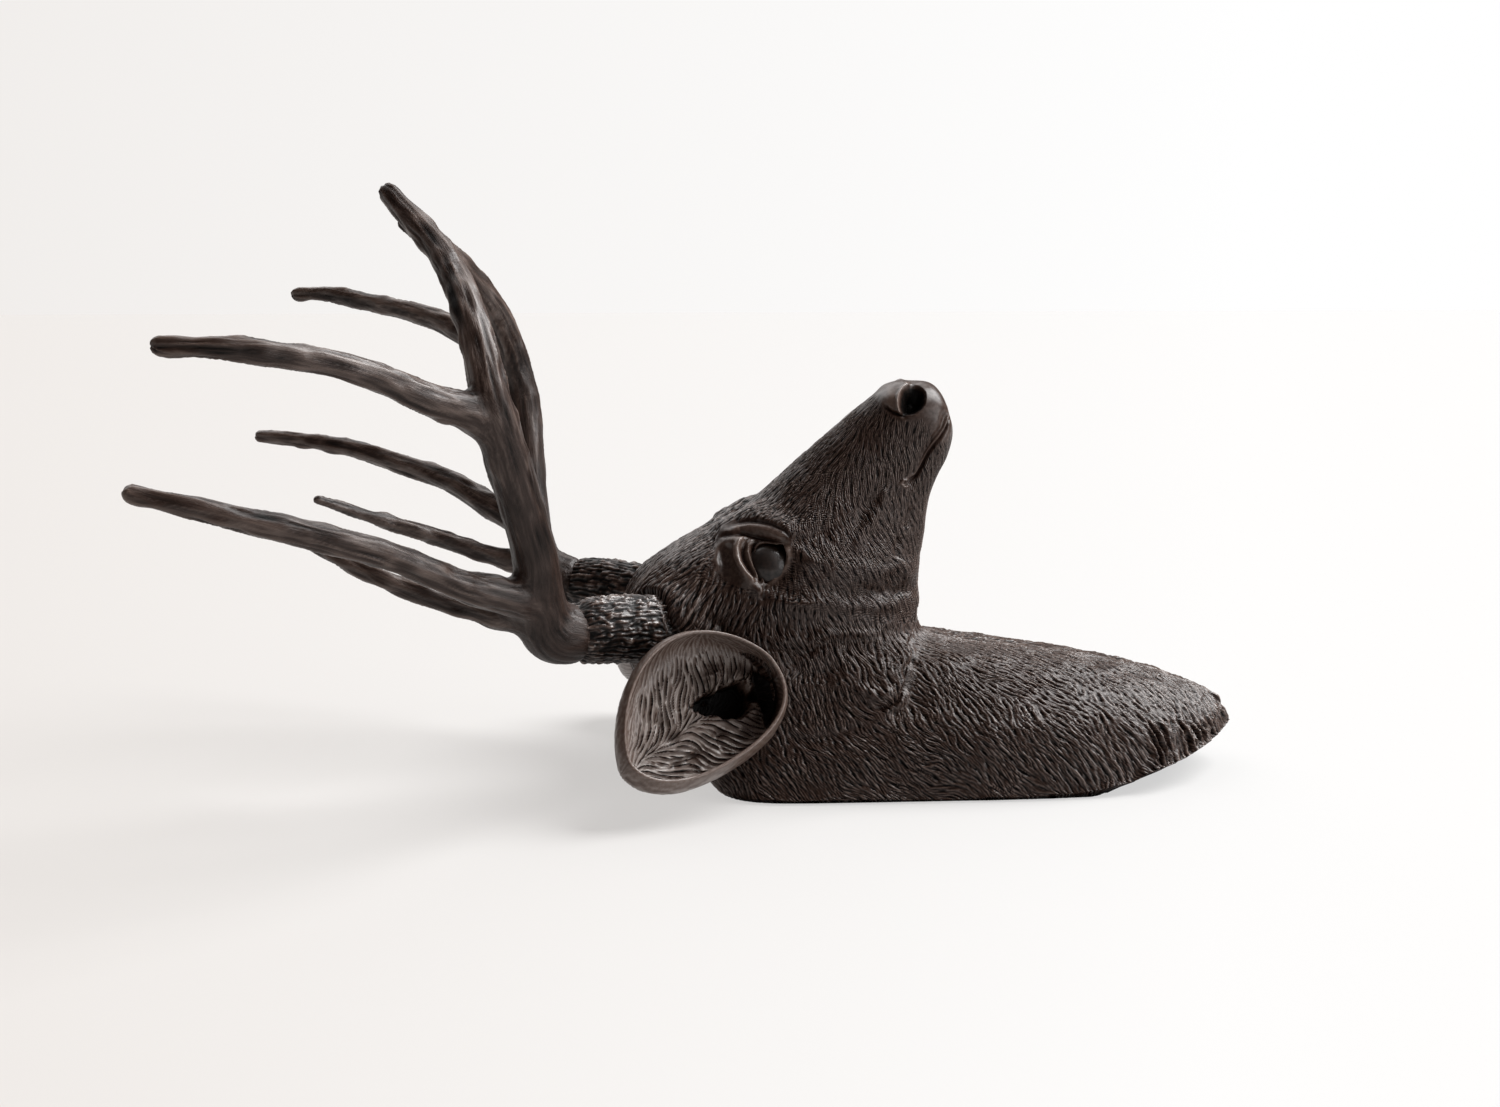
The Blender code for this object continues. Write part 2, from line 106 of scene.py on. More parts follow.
def sideways_white(tree, vector, from_place, darker):
    """White that changes from left to right of the view: the mix of both whites, less the given share."""
    moved = tree.nodes.new("ShaderNodeVectorMath")
    moved.operation = "SUBTRACT"
    feed(tree, moved, {0: vector, 1: from_place})
    apart = add_node(tree, "SeparateXYZ", {"Vector": moved.outputs[0]})
    slope = add_math(tree, "DIVIDE", apart.outputs["X"], add_math(tree, "ABSOLUTE", apart.outputs["Y"]))
    along = add_node(tree, "MapRange", {"Value": slope, "From Min": WHITE_ENDS[0], "From Max": WHITE_ENDS[1]})
    left, right = [[part - darker for part in white[:3]] + [1.0] for white in (LEFT_WHITE, RIGHT_WHITE)]
    return add_mix(tree, left, right, along.outputs["Result"])


camera = bpy.data.objects.new("camera", bpy.data.cameras.new("camera"))
camera.data.lens = LENS
camera.data.sensor_width = SENSOR_WIDTH
camera.data.clip_end = SIGHT_END
bpy.context.scene.collection.objects.link(camera)
point_at(camera, CAMERA_AT, CAMERA_TARGET)
bpy.context.scene.camera = camera

for name, (place, strength, width) in PANELS.items():
    lamp = bpy.data.objects.new(name, bpy.data.lights.new(name, "SUN"))
    lamp.data.energy = strength
    lamp.data.angle = np.radians(width)
    bpy.context.scene.collection.objects.link(lamp)
    point_at(lamp, place, (0.0, 0.0, 0.0))

world = bpy.data.worlds.new("studio")
world.use_nodes = True
studio = world.node_tree
seen = add_node(studio, "LightPath", {}).outputs["Is Camera Ray"]
looking = add_node(studio, "TexCoord", {}).outputs["Generated"]
wall = sideways_white(studio, looking, (0.0, 0.0, 0.0), 0.0)
brightness = add_node(studio, "MapRange", {"Value": seen, "To Min": FILL, "To Max": 1.0})
feed(studio, studio.nodes["Background"], {
    "Color": add_mix(studio, FILL_COLOUR, wall, seen),
    "Strength": brightness.outputs["Result"],
})
bpy.context.scene.world = world
bpy.context.scene.view_settings.view_transform = "Standard"

table_mesh = bpy.data.meshes.new("table")
half = TABLE_SIZE / 2
corners = [(across * half, away * half, -TABLE_DROP) for across, away in ((-1, -1), (1, -1), (1, 1), (-1, 1))]
table_mesh.from_pydata(corners, [], [(0, 1, 2, 3)])
table = bpy.data.objects.new("table", table_mesh)
bpy.context.scene.collection.objects.link(table)
table_white, tree = add_material("table_white")
place = add_node(tree, "TexCoord", {}).outputs["Object"]
feed(tree, tree.nodes["Principled BSDF"], {
    "Base Color": TABLE_WHITE,
    "Roughness": TABLE_ROUGHNESS,
    "Specular IOR Level": 0.0,
    "Emission Color": sideways_white(tree, place, CAMERA_AT, TABLE_LIT),
    "Emission Strength": 1.0,
})
table_mesh.materials.append(table_white)

# Head and neck: one resin casting, hollow in the real one, with its fur as pointed locks in relief.
# It is cast in a mould and lies on a flat back. All its numbers are millimetres, and its outline runs
# over stations from the nose to the rim of the back.
MILLIMETRE = 0.001
BODY_LENGTH = 277.0
RIM_LIFT = 20.0
RIM_EDGE = 2.0
EDGE_RISES_FROM = 50.0
FLAT_BACK_SHARE = 0.32
BACK_INSET = (0.985, 0.97)
# The point on the bridge, crown or nape (x, z), the point on the lip, throat or chest (x, z), half width,
# share of the way down to the widest place, how square the section is above it, and below it towards
# throat and side
STATIONS = [
    (-14, 187.5, -14, 187.5, 0, 0.50, 2.0, 2.0, 2.0),
    (-18, 195.5, -12.5, 181, 10, 0.50, 2.2, 2.2, 2.2),
    (-23, 200, -11.6, 175.5, 16, 0.50, 2.3, 2.3, 2.3),
    (-31, 201, -12.2, 169.5, 20, 0.50, 2.3, 2.2, 2.2),
    (-43, 200, -15, 161, 22.5, 0.50, 2.3, 2.2, 2.2),
    (-55.5, 191, -19.5, 151.5, 23.5, 0.52, 2.2, 2.3, 2.3),
    (-74, 176, -23.5, 139, 25.5, 0.52, 2.1, 2.4, 2.4),
    (-97, 155.5, -26, 121, 33, 0.50, 2.1, 2.2, 2.2),
    (-117, 137, -28.5, 103, 43, 0.45, 2.3, 2.1, 2.1),
    (-138.5, 126, -28, 89, 47, 0.42, 2.5, 2.1, 2.1),
    (-158, 113.5, -28, 78, 50, 0.43, 3.0, 2.1, 2.1),
    (-173, 98, -24, 70.5, 52, 0.45, 3.2, 2.1, 2.1),
    (-181, 79, -8, 66, 54, 0.47, 3.0, 2.0, 2.0),
    (-179, 59, 18, 63, 58, 0.46, 2.6, 2.0, 2.0),
    (-170, 40, 54, 58, 63, 0.42, 3.0, 2.0, 2.0),
    (-157, 22, 90, 50.5, 70, 0.36, 3.6, 2.4, 1.9),
    (-147, 10, 117, 41.5, 75, 0.30, 4.2, 3.6, 1.6),
    (-141, 4.5, 131.5, 32.5, 77.5, 0.28, 4.7, 4.6, 1.4),
    (-138.5, 2, 138.5, 21, 79, 0.27, 5.0, 5.0, 1.3),
]
RIM_STATION = len(STATIONS) - 1
SETTLING_STATIONS = 2.4
# Rows of the surface along the casting, columns from crown to throat, and how much closer rows lie on
# the face
BODY_ROWS = 761
BODY_COLUMNS = 521
FACE_STATIONS = (0.2, 1.0, 9.2, 10.4)
FACE_CLOSER = 1.4
HEAD_STEP = 2  # the head takes every second column
PARTED_AT = (6.0, 10.2, 14.6)  # stations where the meshes of muzzle, cheek and neck end

# Forms on the head: place (x, z), radii along x and z, and height, sunk where negative
SWELLINGS = {
    "eye socket": (-107.5, 114.5, 12, 13, -6.5),
    "temple hollow": (-131, 115, 7, 12, -3.5),
    "cheekbone": (-92, 98, 16, 12, 2.5),
    "cheek": (-70, 86, 30, 30, 4.0),
    "nostril wing": (-37, 190, 11, 12, 2.0),
    "antler collar": (-158, 86, 15, 15, 12.0),
    "ear root": (-116, 62, 16, 16, 4.0),
}
# Long forms: the points (x, z) that they follow, half breadth, and height
FOLDS = {
    "brow": ([(-130, 129), (-124, 134), (-113, 134), (-100, 128)], 6.0, 4.2),
    "lid fold": ([(-125, 123), (-124, 115), (-120, 107), (-114, 102)], 3.5, 2.5),
    "mouth": ([
        (-17, 184), (-18.5, 179), (-23.5, 173), (-27.5, 166), (-31, 158), (-35, 151.5),
    ], 3.0, -2.2),
}
JAW_EDGE = [(-29, 82), (-34, 70), (-38.5, 58), (-42.5, 47), (-50, 42)]
JAW_STEP = 2.2
JAW_CREASE = 6.0
JAW_REACH = 14.0
JAW_HEIGHTS = (34, 48, 75, 115)
JAW_PARTS = (-1.0, 1.0), (42, 50), (104, 92)  # past the edge, and heights where head's and chest's fur part
MIDDLE_BAND = 20.0
NOSE_TIP = 1.5

# The face's finer forms in the side view: the points (x, z) that each follows, half breadth, and height
FACE_LINES = {
    "crease over the brow": ([
        (-129.9, 130.1), (-122.8, 131.8), (-118.3, 133.2), (-113.5, 133.7), (-108.7, 133.3),
        (-105.3, 132.3), (-101.5, 130.8), (-98.8, 128.3), (-98.3, 126.3),
    ], 1.2, -1.3),
    "brow": ([
        (-127.5, 128.9), (-122.5, 130.3), (-117.4, 130.8), (-112.7, 130.4), (-107.9, 129.1),
        (-103.6, 127.4), (-100.7, 126.0),
    ], 2.3, 1.2),
    "crease under the brow": ([
        (-132.1, 125), (-129.1, 126.9), (-125.2, 127.7), (-120.3, 127.3), (-116.4, 126.5),
        (-112.8, 125.9), (-109.5, 125.4), (-106.6, 124.9), (-103.2, 125.0),
    ], 0.9, -1.2),
    "outer lid fold": ([
        (-118.8, 125.9), (-123.4, 124.5), (-124.7, 121.9), (-124.6, 117.8), (-123.4, 114.1),
        (-121.2, 110.4), (-118.1, 107), (-116.3, 105.2),
    ], 1.3, 1.9),
    "between the lid folds": ([
        (-120.4, 122), (-121.8, 119.5), (-121.1, 116), (-119.2, 112.7), (-117.3, 109.5), (-115.9, 107.1),
    ], 0.7, -1.5),
    "inner lid fold": ([
        (-115.7, 125.3), (-118.6, 122.8), (-119.4, 119.2), (-118.5, 115.5), (-117.3, 112),
        (-115.8, 108.9), (-114.5, 105.9),
    ], 1.1, 1.5),
    "groove by the upper lid": ([
        (-113.9, 124.0), (-116.2, 121.8), (-116.7, 118.3), (-115.8, 114.4), (-115.0, 111.1),
        (-113.9, 107.8), (-113.3, 105.7),
    ], 0.65, -1.6),
    "upper lid": ([
        (-101.7, 124.2), (-104.6, 123.7), (-107.5, 124.0), (-110.7, 124.0), (-113.6, 123.0),
        (-115.5, 121.3), (-115.8, 118.2), (-115.1, 114.4), (-114.1, 111), (-112.7, 107.7),
        (-111.2, 104.2),
    ], 0.6, 1.3),
    "lower lid": ([
        (-101.2, 123.4), (-99.2, 121), (-98.4, 117.4), (-99.3, 113.8), (-101.0, 111.2), (-105.4, 106.9),
        (-109.0, 104.2),
    ], 1.2, 1.4),
    "tear duct": ([(-111.0, 104.2), (-111.6, 101.5), (-112.2, 96.5)], 1.2, -1.4),
    "edge of the hollow": ([
        (-123.9, 125.5), (-130.2, 123), (-133.8, 119.6), (-134.7, 115), (-133.5, 110.5),
    ], 1.8, 0.9),
    "nostril rim": ([
        (-34.6, 200.2), (-37.2, 199.6), (-39.6, 197.8), (-41.3, 194.7), (-41.9, 191.3), (-41.6, 188),
        (-40.6, 185.9),
    ], 0.8, 1.5),
    "slit under the nostril wing": ([
        (-48.2, 190.0), (-46.4, 188.2), (-44.2, 186.9), (-41.2, 185.6), (-38.2, 185.0),
    ], 0.75, -1.9),
    "upper lip": ([
        (-15.6, 188.5), (-16.2, 183.1), (-18.5, 177.9), (-22.5, 172.9), (-26.8, 167.6), (-31, 160.4),
        (-33.2, 156.4), (-36.5, 153.6),
    ], 0.9, 1.1),
    "mouth": ([
        (-14.6, 184), (-17.2, 178.2), (-20.6, 173.4), (-23.6, 170.2), (-26.8, 165.4), (-29.6, 159.2),
        (-32.6, 154.6), (-37.4, 151.2),
    ], 0.8, -1.4),
    "corner of the mouth": ([
        (-36.4, 152.9), (-39.6, 152.9), (-40.9, 151.2), (-39.2, 149.5), (-35.9, 149.4),
    ], 0.7, 1.2),
}
# Muscles and creases under the fur, given in the same way
FUR_FOLDS = {
    "cheekbone": ([
        (-99, 118.4), (-85.6, 114.3), (-70.5, 112.6), (-56, 110.9), (-42.6, 109.5), (-30, 104),
    ], 4.8, 2.3),
    "hollow before the eye": ([(-98.0, 127), (-92.3, 125.4), (-84.1, 126.3), (-74.1, 128.6)], 4.0, -2.0),
    "crease under the cheekbone": ([
        (-108.6, 103.4), (-98.8, 102.4), (-89, 102.6), (-78.9, 102.3), (-71.6, 100.6), (-62.4, 101.4),
        (-51.5, 98), (-40.3, 97.6), (-30, 94.7),
    ], 3.2, -2.0),
    "upper cheek": ([
        (-108.5, 96.4), (-98.9, 97.6), (-87.1, 97.6), (-75.9, 96), (-64.5, 94.9), (-52.9, 92.6),
        (-37.9, 91),
    ], 3.8, 1.6),
    "fold from the mouth": ([
        (-45.5, 147.2), (-51.9, 140.5), (-57.3, 134), (-61.8, 127.6), (-63.6, 121.2),
    ], 2.8, 1.5),
    "hollow behind that fold": ([(-52.8, 146.7), (-60.1, 138.2), (-65.5, 131.6)], 3.0, -1.5),
    "upper slit by the throat": ([(-34.7, 139.2), (-36.4, 134.4), (-38.6, 128.4)], 1.7, -1.2),
    "lower slit by the throat": ([(-41.3, 125.6), (-42.4, 119.1), (-42, 112.9)], 1.7, -1.7),
    "lower cheek": ([
        (-117.3, 77.5), (-107.2, 78.8), (-97.5, 77.8), (-91, 77.8), (-81.9, 80.6), (-70.6, 79), (-59, 78),
        (-46.1, 81.5),
    ], 2.6, 1.4),
    "crease under the lower cheek": ([
        (-118, 73), (-107, 74), (-97, 73), (-90, 73), (-80, 75.4), (-68, 73.8), (-57, 73.5),
    ], 2.8, -1.3),
    "hollow by the ear": ([(-101, 70), (-92, 61.5), (-82.3, 62.3), (-72.2, 63.9)], 3.8, -1.8),
    "tuft at the end of the jaw": ([(-66.9, 51.5), (-56.3, 52.2), (-49.6, 53.3)], 3.0, 1.9),
    "crease under the jaw": ([
        (-60, 46.8), (-54, 47.2), (-47.5, 48.5), (-42.6, 53.5), (-39.2, 61), (-35.4, 69.5), (-31, 78),
        (-28.6, 86),
    ], 1.9, -3.0),
    "crease by the collar": ([(-141.2, 88.5), (-133.7, 83.7), (-129.4, 77.3)], 3.0, -1.8),
    "crease under the ear": ([(-104, 31), (-89.7, 29.5), (-77.1, 33), (-61.1, 35.5)], 3.0, -1.4),
}
FOLD_WAVER = 2.4  # millimetres that those lines waver
FOLD_WAVES = (9.0, 7.0)  # size of those wavers along x and along z
LINE_START, LINE_END = (-0.05, 0.15), (1.05, 0.85)  # shares of a line over which it begins and ends
SKIN_SPREAD = 0.4  # millimetres that bare skin reaches past the half breadth of the face's lines
SIDE_STARTS = (2.0, 8.0)  # millimetres from the middle plane over which the finer forms begin
# Rounded finer forms: place (x, z), radii, height
FACE_HILLS = {
    "nostril wing": (-45.0, 193.0, 3.4, 5.0, 1.7),
    "corner of the eye": (-111.8, 101.8, 2.0, 2.0, 0.9),
    "chin": (-18, 168, 5, 10, 0.8),
}
# Openings: the outline (x, z) round a place
EYE_MIDDLE = (-108.0, 114.5)
EYE_OUTLINE = [
    (-101.7, 123.4), (-104.6, 123.0), (-107.5, 123.3), (-110.5, 123.3), (-113.2, 122.5), (-114.9, 121.0),
    (-115.1, 118.2), (-114.5, 114.4), (-113.5, 111.0), (-112.2, 107.7), (-110.7, 104.8), (-107.3, 107.4),
    (-104.2, 110.2), (-101.6, 113.2), (-100.2, 116.8), (-100.4, 120.4),
]
EYE_SUNK = 7.0
EYE_CLEAR, EYE_EDGE = (0.9, 1.04), (1.02, 0.86)  # shares of the outline: forms end, hollow starts
NOSTRIL_MIDDLE = (-34.4, 192.4)
NOSTRIL_OUTLINE = [
    (-36.8, 199.1), (-33.0, 199.9), (-29.7, 199.2), (-27.5, 196.9), (-27.6, 193.7), (-29.0, 189.9),
    (-31.8, 187.5), (-35.9, 185.8), (-39.3, 185.5), (-40.5, 186.2), (-41.2, 188.0), (-41.4, 191.3),
    (-40.8, 194.5), (-39.1, 197.6),
]
NOSTRIL_SUNK = 9.0
NOSTRIL_CLEAR, NOSTRIL_EDGE = (0.86, 1.0), (1.04, 0.72)
# Bare skin without fur round the eye and on the nose, and the shares of each outline over which it ends
EYE_SKIN_EDGE, NOSE_SKIN_EDGE, NOSE_TOP_EDGE = (1.06, 0.96), (1.08, 0.94), (1.15, 0.95)
EYE_SKIN_MIDDLE = (-116.0, 117.0)
EYE_SKIN = [
    (-129.9, 131.0), (-122.8, 133.0), (-113.5, 134.8), (-105.3, 133.4), (-98.0, 129.3), (-97.4, 122.0),
    (-97.2, 117.0), (-99.2, 111.5), (-105.5, 105.0), (-112.5, 100.0), (-118, 103.5), (-129.7, 106.0),
    (-135.7, 113.0), (-135.0, 121.6),
]
NOSE_SKIN_MIDDLE = (-28.0, 193.0)
NOSE_SKIN = [
    (-54, 203), (-50, 195), (-48.5, 188.5), (-44, 184.8), (-38, 183.2), (-30, 184.5), (-26.5, 180),
    (-22.5, 172), (-19, 172), (-12, 178), (-8, 190), (-12, 204), (-30, 212),
]

# The ear: length, width, depth and wall of its bowl, the points of its root and tip, and the way it faces
EAR_LENGTH, EAR_WIDTH, EAR_DEPTH, EAR_WALL = 101.0, 72.0, 24.0, 4.5
EAR_ROOT = np.array([-107.0, -60.0, 65.5])
EAR_TIP = np.array([-182.0, -113.0, 23.5])
EAR_FACING = np.array([-0.06, -0.98, 0.17])
EAR_MIDDLE = 0.44
EAR_BOW = 0.06
HOLE_ROOM = 12.0  # room behind the bowl for the ear's hole

# Fur: the way that it lies in the side view, in degrees below +X, at places (x, z)
FUR_WAYS = [
    (-60, 186, 132), (-45, 170, 92), (-33, 164, 72), (-78, 160, 118), (-62, 145, 78), (-40, 140, 78),
    (-92, 148, 125), (-78, 122, 66), (-60, 118, 57), (-38, 118, 66), (-96, 106, 84), (-88, 92, 68),
    (-60, 96, 52), (-38, 96, 52), (-44, 76, 68), (-62, 72, 56), (-88, 74, 72), (-76, 46, 66),
    (-104, 46, 78), (-58, 34, 48), (-120, 95, 96), (-120, 138, 150), (-140, 120, 145), (-158, 104, 132),
    (-136, 98, 118), (-146, 78, 112), (-165, 60, 100), (-130, 60, 92), (-140, 30, 80), (-90, 8, 40),
    (-40, 8, 30), (20, 8, 28), (-12, 62, 48), (20, 58, 44), (55, 52, 46), (95, 44, 44), (125, 32, 50),
    (-20, 46, 54), (20, 38, 50), (60, 32, 52), (95, 26, 56), (-20, 24, 50), (40, 18, 46),
]
FUR_WAY_REACH = 13.0
BEYOND_JAW = 60.0  # how far the chest's fur counts as being from the head's, in millimetres
FUR_STARTS, CHEST_STARTS = (2.5, 8.0), (8.5, 12.5)  # stations over which fur and the chest's fur begin
SWAY = (18.0, 15.0)  # degrees that strands sway, and over how many millimetres
SWIRL = (20.0, 6.0)
UNRULY = 0.5  # how much more than that on the chest
CHEST_SPREAD = 0.8  # how much the chest's fur runs out to the sides for one step down
SPREAD_STARTS = 15  # millimetres from the middle plane where it does so in full
STRAND_LENGTH = 1.3  # to either side of a place, in millimetres
CHEST_LENGTH = 1.3  # times that on the chest
STRAND_BREADTH = (0.32, 0.36)  # on the head, and on the chest
STRAND_RELIEF = (0.16, 0.58, 0.85)  # on the nose, the cheek and the chest
STRAND_PATCH = (6.5, 0.75, 0.45)  # size of patches of fainter and deeper strands, their mean and change
TUFT_LENGTH = 1.7
TUFT_BREADTH = 1.35
TUFT_RELIEF = (0.03, 0.20, 0.50)
TUFT_GAP = (0.0, 0.6, 2.0)  # how deep the gaps between some of the tufts are, in the same three places
GAP_STARTS = (-0.55, -1.9)  # values of the tufts' noise over which such a gap deepens
TUFT_LEAN, LOCK_LEAN = 1.8, 3.0  # millimetres that the crest of a tuft and of a lock runs ahead of its foot
TUFT_SHARPNESS, LOCK_SHARPNESS = 0.8, 1.2
CALM = (0.45, 5.0, 14.0)  # share of tufts at the wall plane, and the heights over which the rest come
HILL = (9.0, 1.1)  # size and height of low uneven hills under the fur
RIM_LOCKS = (4.0, 2.0, 4.6, 34.0)  # half length, half breadth, relief, and reach up from the rim
RIM_LUMPS = (3.6, 8.0)  # relief and size of the uneven clumps at the rim
RIM_LUMPS_REACH = (14.0, 2.0)
# Share of the locks' relief on the rim itself, and how far from it they are full and begin to fade
RIM_FADE = (0.4, 6.0, 4.0)
RIM_UNEVEN = (11.0, 0.6, 0.8)  # size over which the rim's locks change, their mean and how far they change
RIM_STARTS = (20.0, 90.0)  # x over which the rim's locks and clumps begin
LOWEST = 0.4  # height over the wall plane that no fur goes under
SEAT = ((-176.0, -46.5, 82.5), (-0.873, -0.477, 0.106))  # a point and the way of the right antler's base
SEAT_GROOVE = (18.9, 1.3, -3.0)  # distance from that line, half breadth and height
SEAT_LOCKS = (25.0, 6.0, 1.3)
SEAT_REACH = (-120.0, -150.0)
STEP = 0.5  # millimetres between the places that a strand is averaged over, or more for broad ones
# The same as a share of a strand's breadth, the reach and step by which strands are sharpened across, and
# those by which their strength is evened out
STRAND_STEP, SHARPENED, CROSS_STEP, EVENED, EVEN_STEP = 0.35, 1.6, 0.4, 3, 1.2
# How light the fur is painted, as painted highlight on crests and painted shade in gaps: the middle value,
# and what strands, the chest, tufts, gaps and locks change
CREST_LEVEL, CREST_STRAND, CREST_CHEST, CREST_TUFT, GAP_PAINTED_SHADE, CREST_LOCK = 0.5, 0.42, 0.04, 0.12, 0.5, 0.16
# Bare skin: its own tone, painted lighter where it stands higher and darker in its creases and hollows, as
# painted highlight and painted shade
SKIN_CREST = (0.55, 0.16, 0.2, 0.95)  # value of bare skin, change with its height, and bounds
# Painted shade in the openings of the eye and the nostril
EYE_PAINTED_SHADE, NOSTRIL_PAINTED_SHADE = (0.9, 1.02, 0.9), (0.7, 1.0, 0.6)  # how much darker, and over what shares

# The cast surface, which all of the casting's materials share: the sockets of its node group and their kinds
SURFACE_SOCKETS = {
    "INPUT": {"Vector": "Vector", "Grain": "Vector", "Fineness": "Float", "Crest": "Float"},
    "OUTPUT": {"Color": "Color", "Roughness": "Float", "Gloss": "Float", "Height": "Float"},
}
# Its noises: name, coordinates, scale and detail
NOISES = (("stain", "Vector", 22.0, 3.0), ("grain", "Grain", 0.5, 2.0), ("speck", "Grain", 1.3, 2.0))
GRAIN_WEAR = 0.36  # how far the grain's noise shifts the crest value
# Its colours from the lowest crest value, painted shade in grooves and hollows, to the highest, painted
# highlight on crests that wear lightens further
TONE_AND_PAINTED_LIGHT_COLOURS = [(0.36, (0.0016, 0.0010, 0.0008)), (0.70, (0.0265, 0.0135, 0.0092)),
                 (1.00, (0.108, 0.076, 0.063)), (1.20, (0.200, 0.172, 0.158))]
STAIN_BOUNDS, STAIN_COLOURS = (0.3, 0.7), ((0.70, 0.64, 0.60, 1), (1.0, 1.0, 1.0, 1))
ROUGHNESS_BOUNDS, GLOSS_BOUNDS = (0.42, 0.56), (0.35, 0.95)
GRAIN_FINENESS = 1.5  # how fine the noises are along an antler's grain
BUMP_DEPTH = (0.0002, 0.0006)  # on plain and on grained pieces


def smooth(values, at):
    """Rows of values, one for each whole number, read at any place between them along a smooth cubic."""
    values = np.asarray(values, float)
    at = np.clip(np.asarray(at, float), 0, len(values) - 1)
    low = np.minimum(at.astype(int), len(values) - 2)
    part = (at - low)[..., None]
    slope = np.gradient(values, axis=0)
    square, cube = part**2, part**3
    start = values[low] * (2 * cube - 3 * square + 1) + slope[low] * (cube - 2 * square + part)
    return start + values[low + 1] * (3 * square - 2 * cube) + slope[low + 1] * (cube - square)


def ramp(low, high, value):
    """0 below low, 1 above high, and an even curve between them."""
    share = np.clip((value - low) / (high - low), 0, 1)
    return share * share * (3 - 2 * share)


def hashed(*cells):
    """An even spread of numbers from 0 to 1, one for each set of whole numbers, always the same ones."""
    mixed = np.zeros(np.broadcast(*cells).shape, np.uint64)
    for cell, prime in zip(cells, (73856093, 19349663, 83492791, 49979693)):
        mixed ^= (np.asarray(cell).astype(np.int64) + 4096).astype(np.uint64) * np.uint64(prime)
    mixed ^= mixed >> np.uint64(13)
    mixed = (mixed * np.uint64(1274126177)) & np.uint64(0xFFFFFFFF)
    mixed ^= mixed >> np.uint64(16)
    return mixed.astype(float) / 0xFFFFFFFF


def drift(place, size, kind=0):
    """Smooth noise from -1 to 1: hashed values on a cubic lattice of that size, blended evenly between."""
    scaled = np.asarray(place, float) / size
    low = np.floor(scaled)
    part = scaled - low
    part = part * part * (3 - 2 * part)
    total = 0.0
    for corner in range(8):
        step = np.array([corner & 1, corner >> 1 & 1, corner >> 2 & 1])
        weight = np.prod(np.where(step == 1, part, 1 - part), axis=-1)
        at = low + step
        total = total + weight * hashed(at[..., 0], at[..., 1], at[..., 2], kind)
    return 2 * total - 1


def distance_to_line(x, z, points):
    """Distance in the side view to the line through the points, and the share of its length up to there."""
    best = np.full(np.shape(x), np.inf)
    along = np.zeros(np.shape(x))
    for index, ((ax, az), (bx, bz)) in enumerate(zip(points[:-1], points[1:])):
        run = ((x - ax) * (bx - ax) + (z - az) * (bz - az)) / ((bx - ax) ** 2 + (bz - az) ** 2)
        run = np.clip(run, 0, 1)
        away = np.hypot(x - ax - run * (bx - ax), z - az - run * (bz - az))
        along = np.where(away < best, (index + run) / (len(points) - 1), along)
        best = np.minimum(best, away)
    return best, along


def rim_height(x):
    """Height of the rim over the wall plane."""
    run = np.clip((x - EDGE_RISES_FROM) / (BODY_LENGTH / 2 - EDGE_RISES_FROM), 0, 1)
    return RIM_EDGE + (RIM_LIFT - RIM_EDGE) * run**1.3


def bare_body(station, turn):
    """Head and neck without relief: superellipse sections through the stations.

    The turn runs from 0 at the crown to pi at the throat.
    """
    row = smooth(STATIONS, station)
    cosine, sine = np.cos(turn), np.sin(turn)
    above = cosine > 0
    along = np.abs(cosine) ** (2 / np.where(above, row[..., 6], row[..., 7]))
    side = np.abs(sine) ** (2 / np.where(above, row[..., 6], row[..., 8]))
    top, under = row[..., 0:2], row[..., 2:4]
    widest = top + (under - top) * row[..., 5:6]
    end = np.where(above[..., None], top, under)
    place = widest + (end - widest) * along[..., None]
    settled = ramp(RIM_STATION - SETTLING_STATIONS, RIM_STATION, station) * (1 - along**4)
    height = place[..., 1] * (1 - settled) + rim_height(place[..., 0]) * settled
    return np.stack([place[..., 0], -row[..., 4] * side, height], axis=-1)


def even_turns(stations, columns):
    """Turns that cut every section's arc from crown to throat into equal lengths."""
    quarter = np.linspace(0, 1, 301)
    eased = ramp(0, 1, ramp(0, 1, quarter)) * np.pi / 2
    table = np.concatenate([eased, np.pi - eased[-2::-1]])
    points = bare_body(stations[:, None] * np.ones(len(table)), np.ones((len(stations), 1)) * table)
    steps = np.linalg.norm(np.diff(points, axis=1), axis=-1)
    run = np.concatenate([np.zeros((len(stations), 1)), np.cumsum(steps, axis=1)], axis=1)
    shares = np.linspace(0, 1, columns)
    return np.stack([np.interp(shares * row[-1], row, table) for row in run])


def even_stations(rows):
    """Stations spread evenly along the casting, closer together on the face."""
    fine = np.linspace(0.02, RIM_STATION, 3000)
    lines = bare_body(fine[:, None] * np.ones(3), np.ones((len(fine), 1)) * np.array([0, np.pi / 2, np.pi]))
    steps = np.linalg.norm(np.diff(lines, axis=0), axis=-1).mean(axis=1)
    start, full, fading, end = FACE_STATIONS
    steps *= 1 + FACE_CLOSER * ramp(start, full, fine[1:]) * ramp(end, fading, fine[1:])
    run = np.concatenate([[0], np.cumsum(steps)])
    return np.interp(np.linspace(0, run[-1], rows), run, fine)


def unit(vectors):
    """Vectors of length 1 in the same directions."""
    return vectors / (np.linalg.norm(vectors, axis=-1)[..., None] + 1e-12)


def outward(grid):
    """Unit normals of a grid of points: the cross product of its two directions."""
    return unit(np.cross(np.gradient(grid, axis=0), np.gradient(grid, axis=1)))


def level_middle(normal):
    """Normals on the first and last column, in the middle plane, turned into that plane."""
    normal = normal.copy()
    normal[:, [0, -1], 1] = 0
    return unit(normal)


def past_jaw(x, z):
    """How far in x a place is past the jaw's edge, towards the chest."""
    rising = np.array(JAW_EDGE[::-1])
    return x - np.interp(z, rising[:, 1], rising[:, 0])


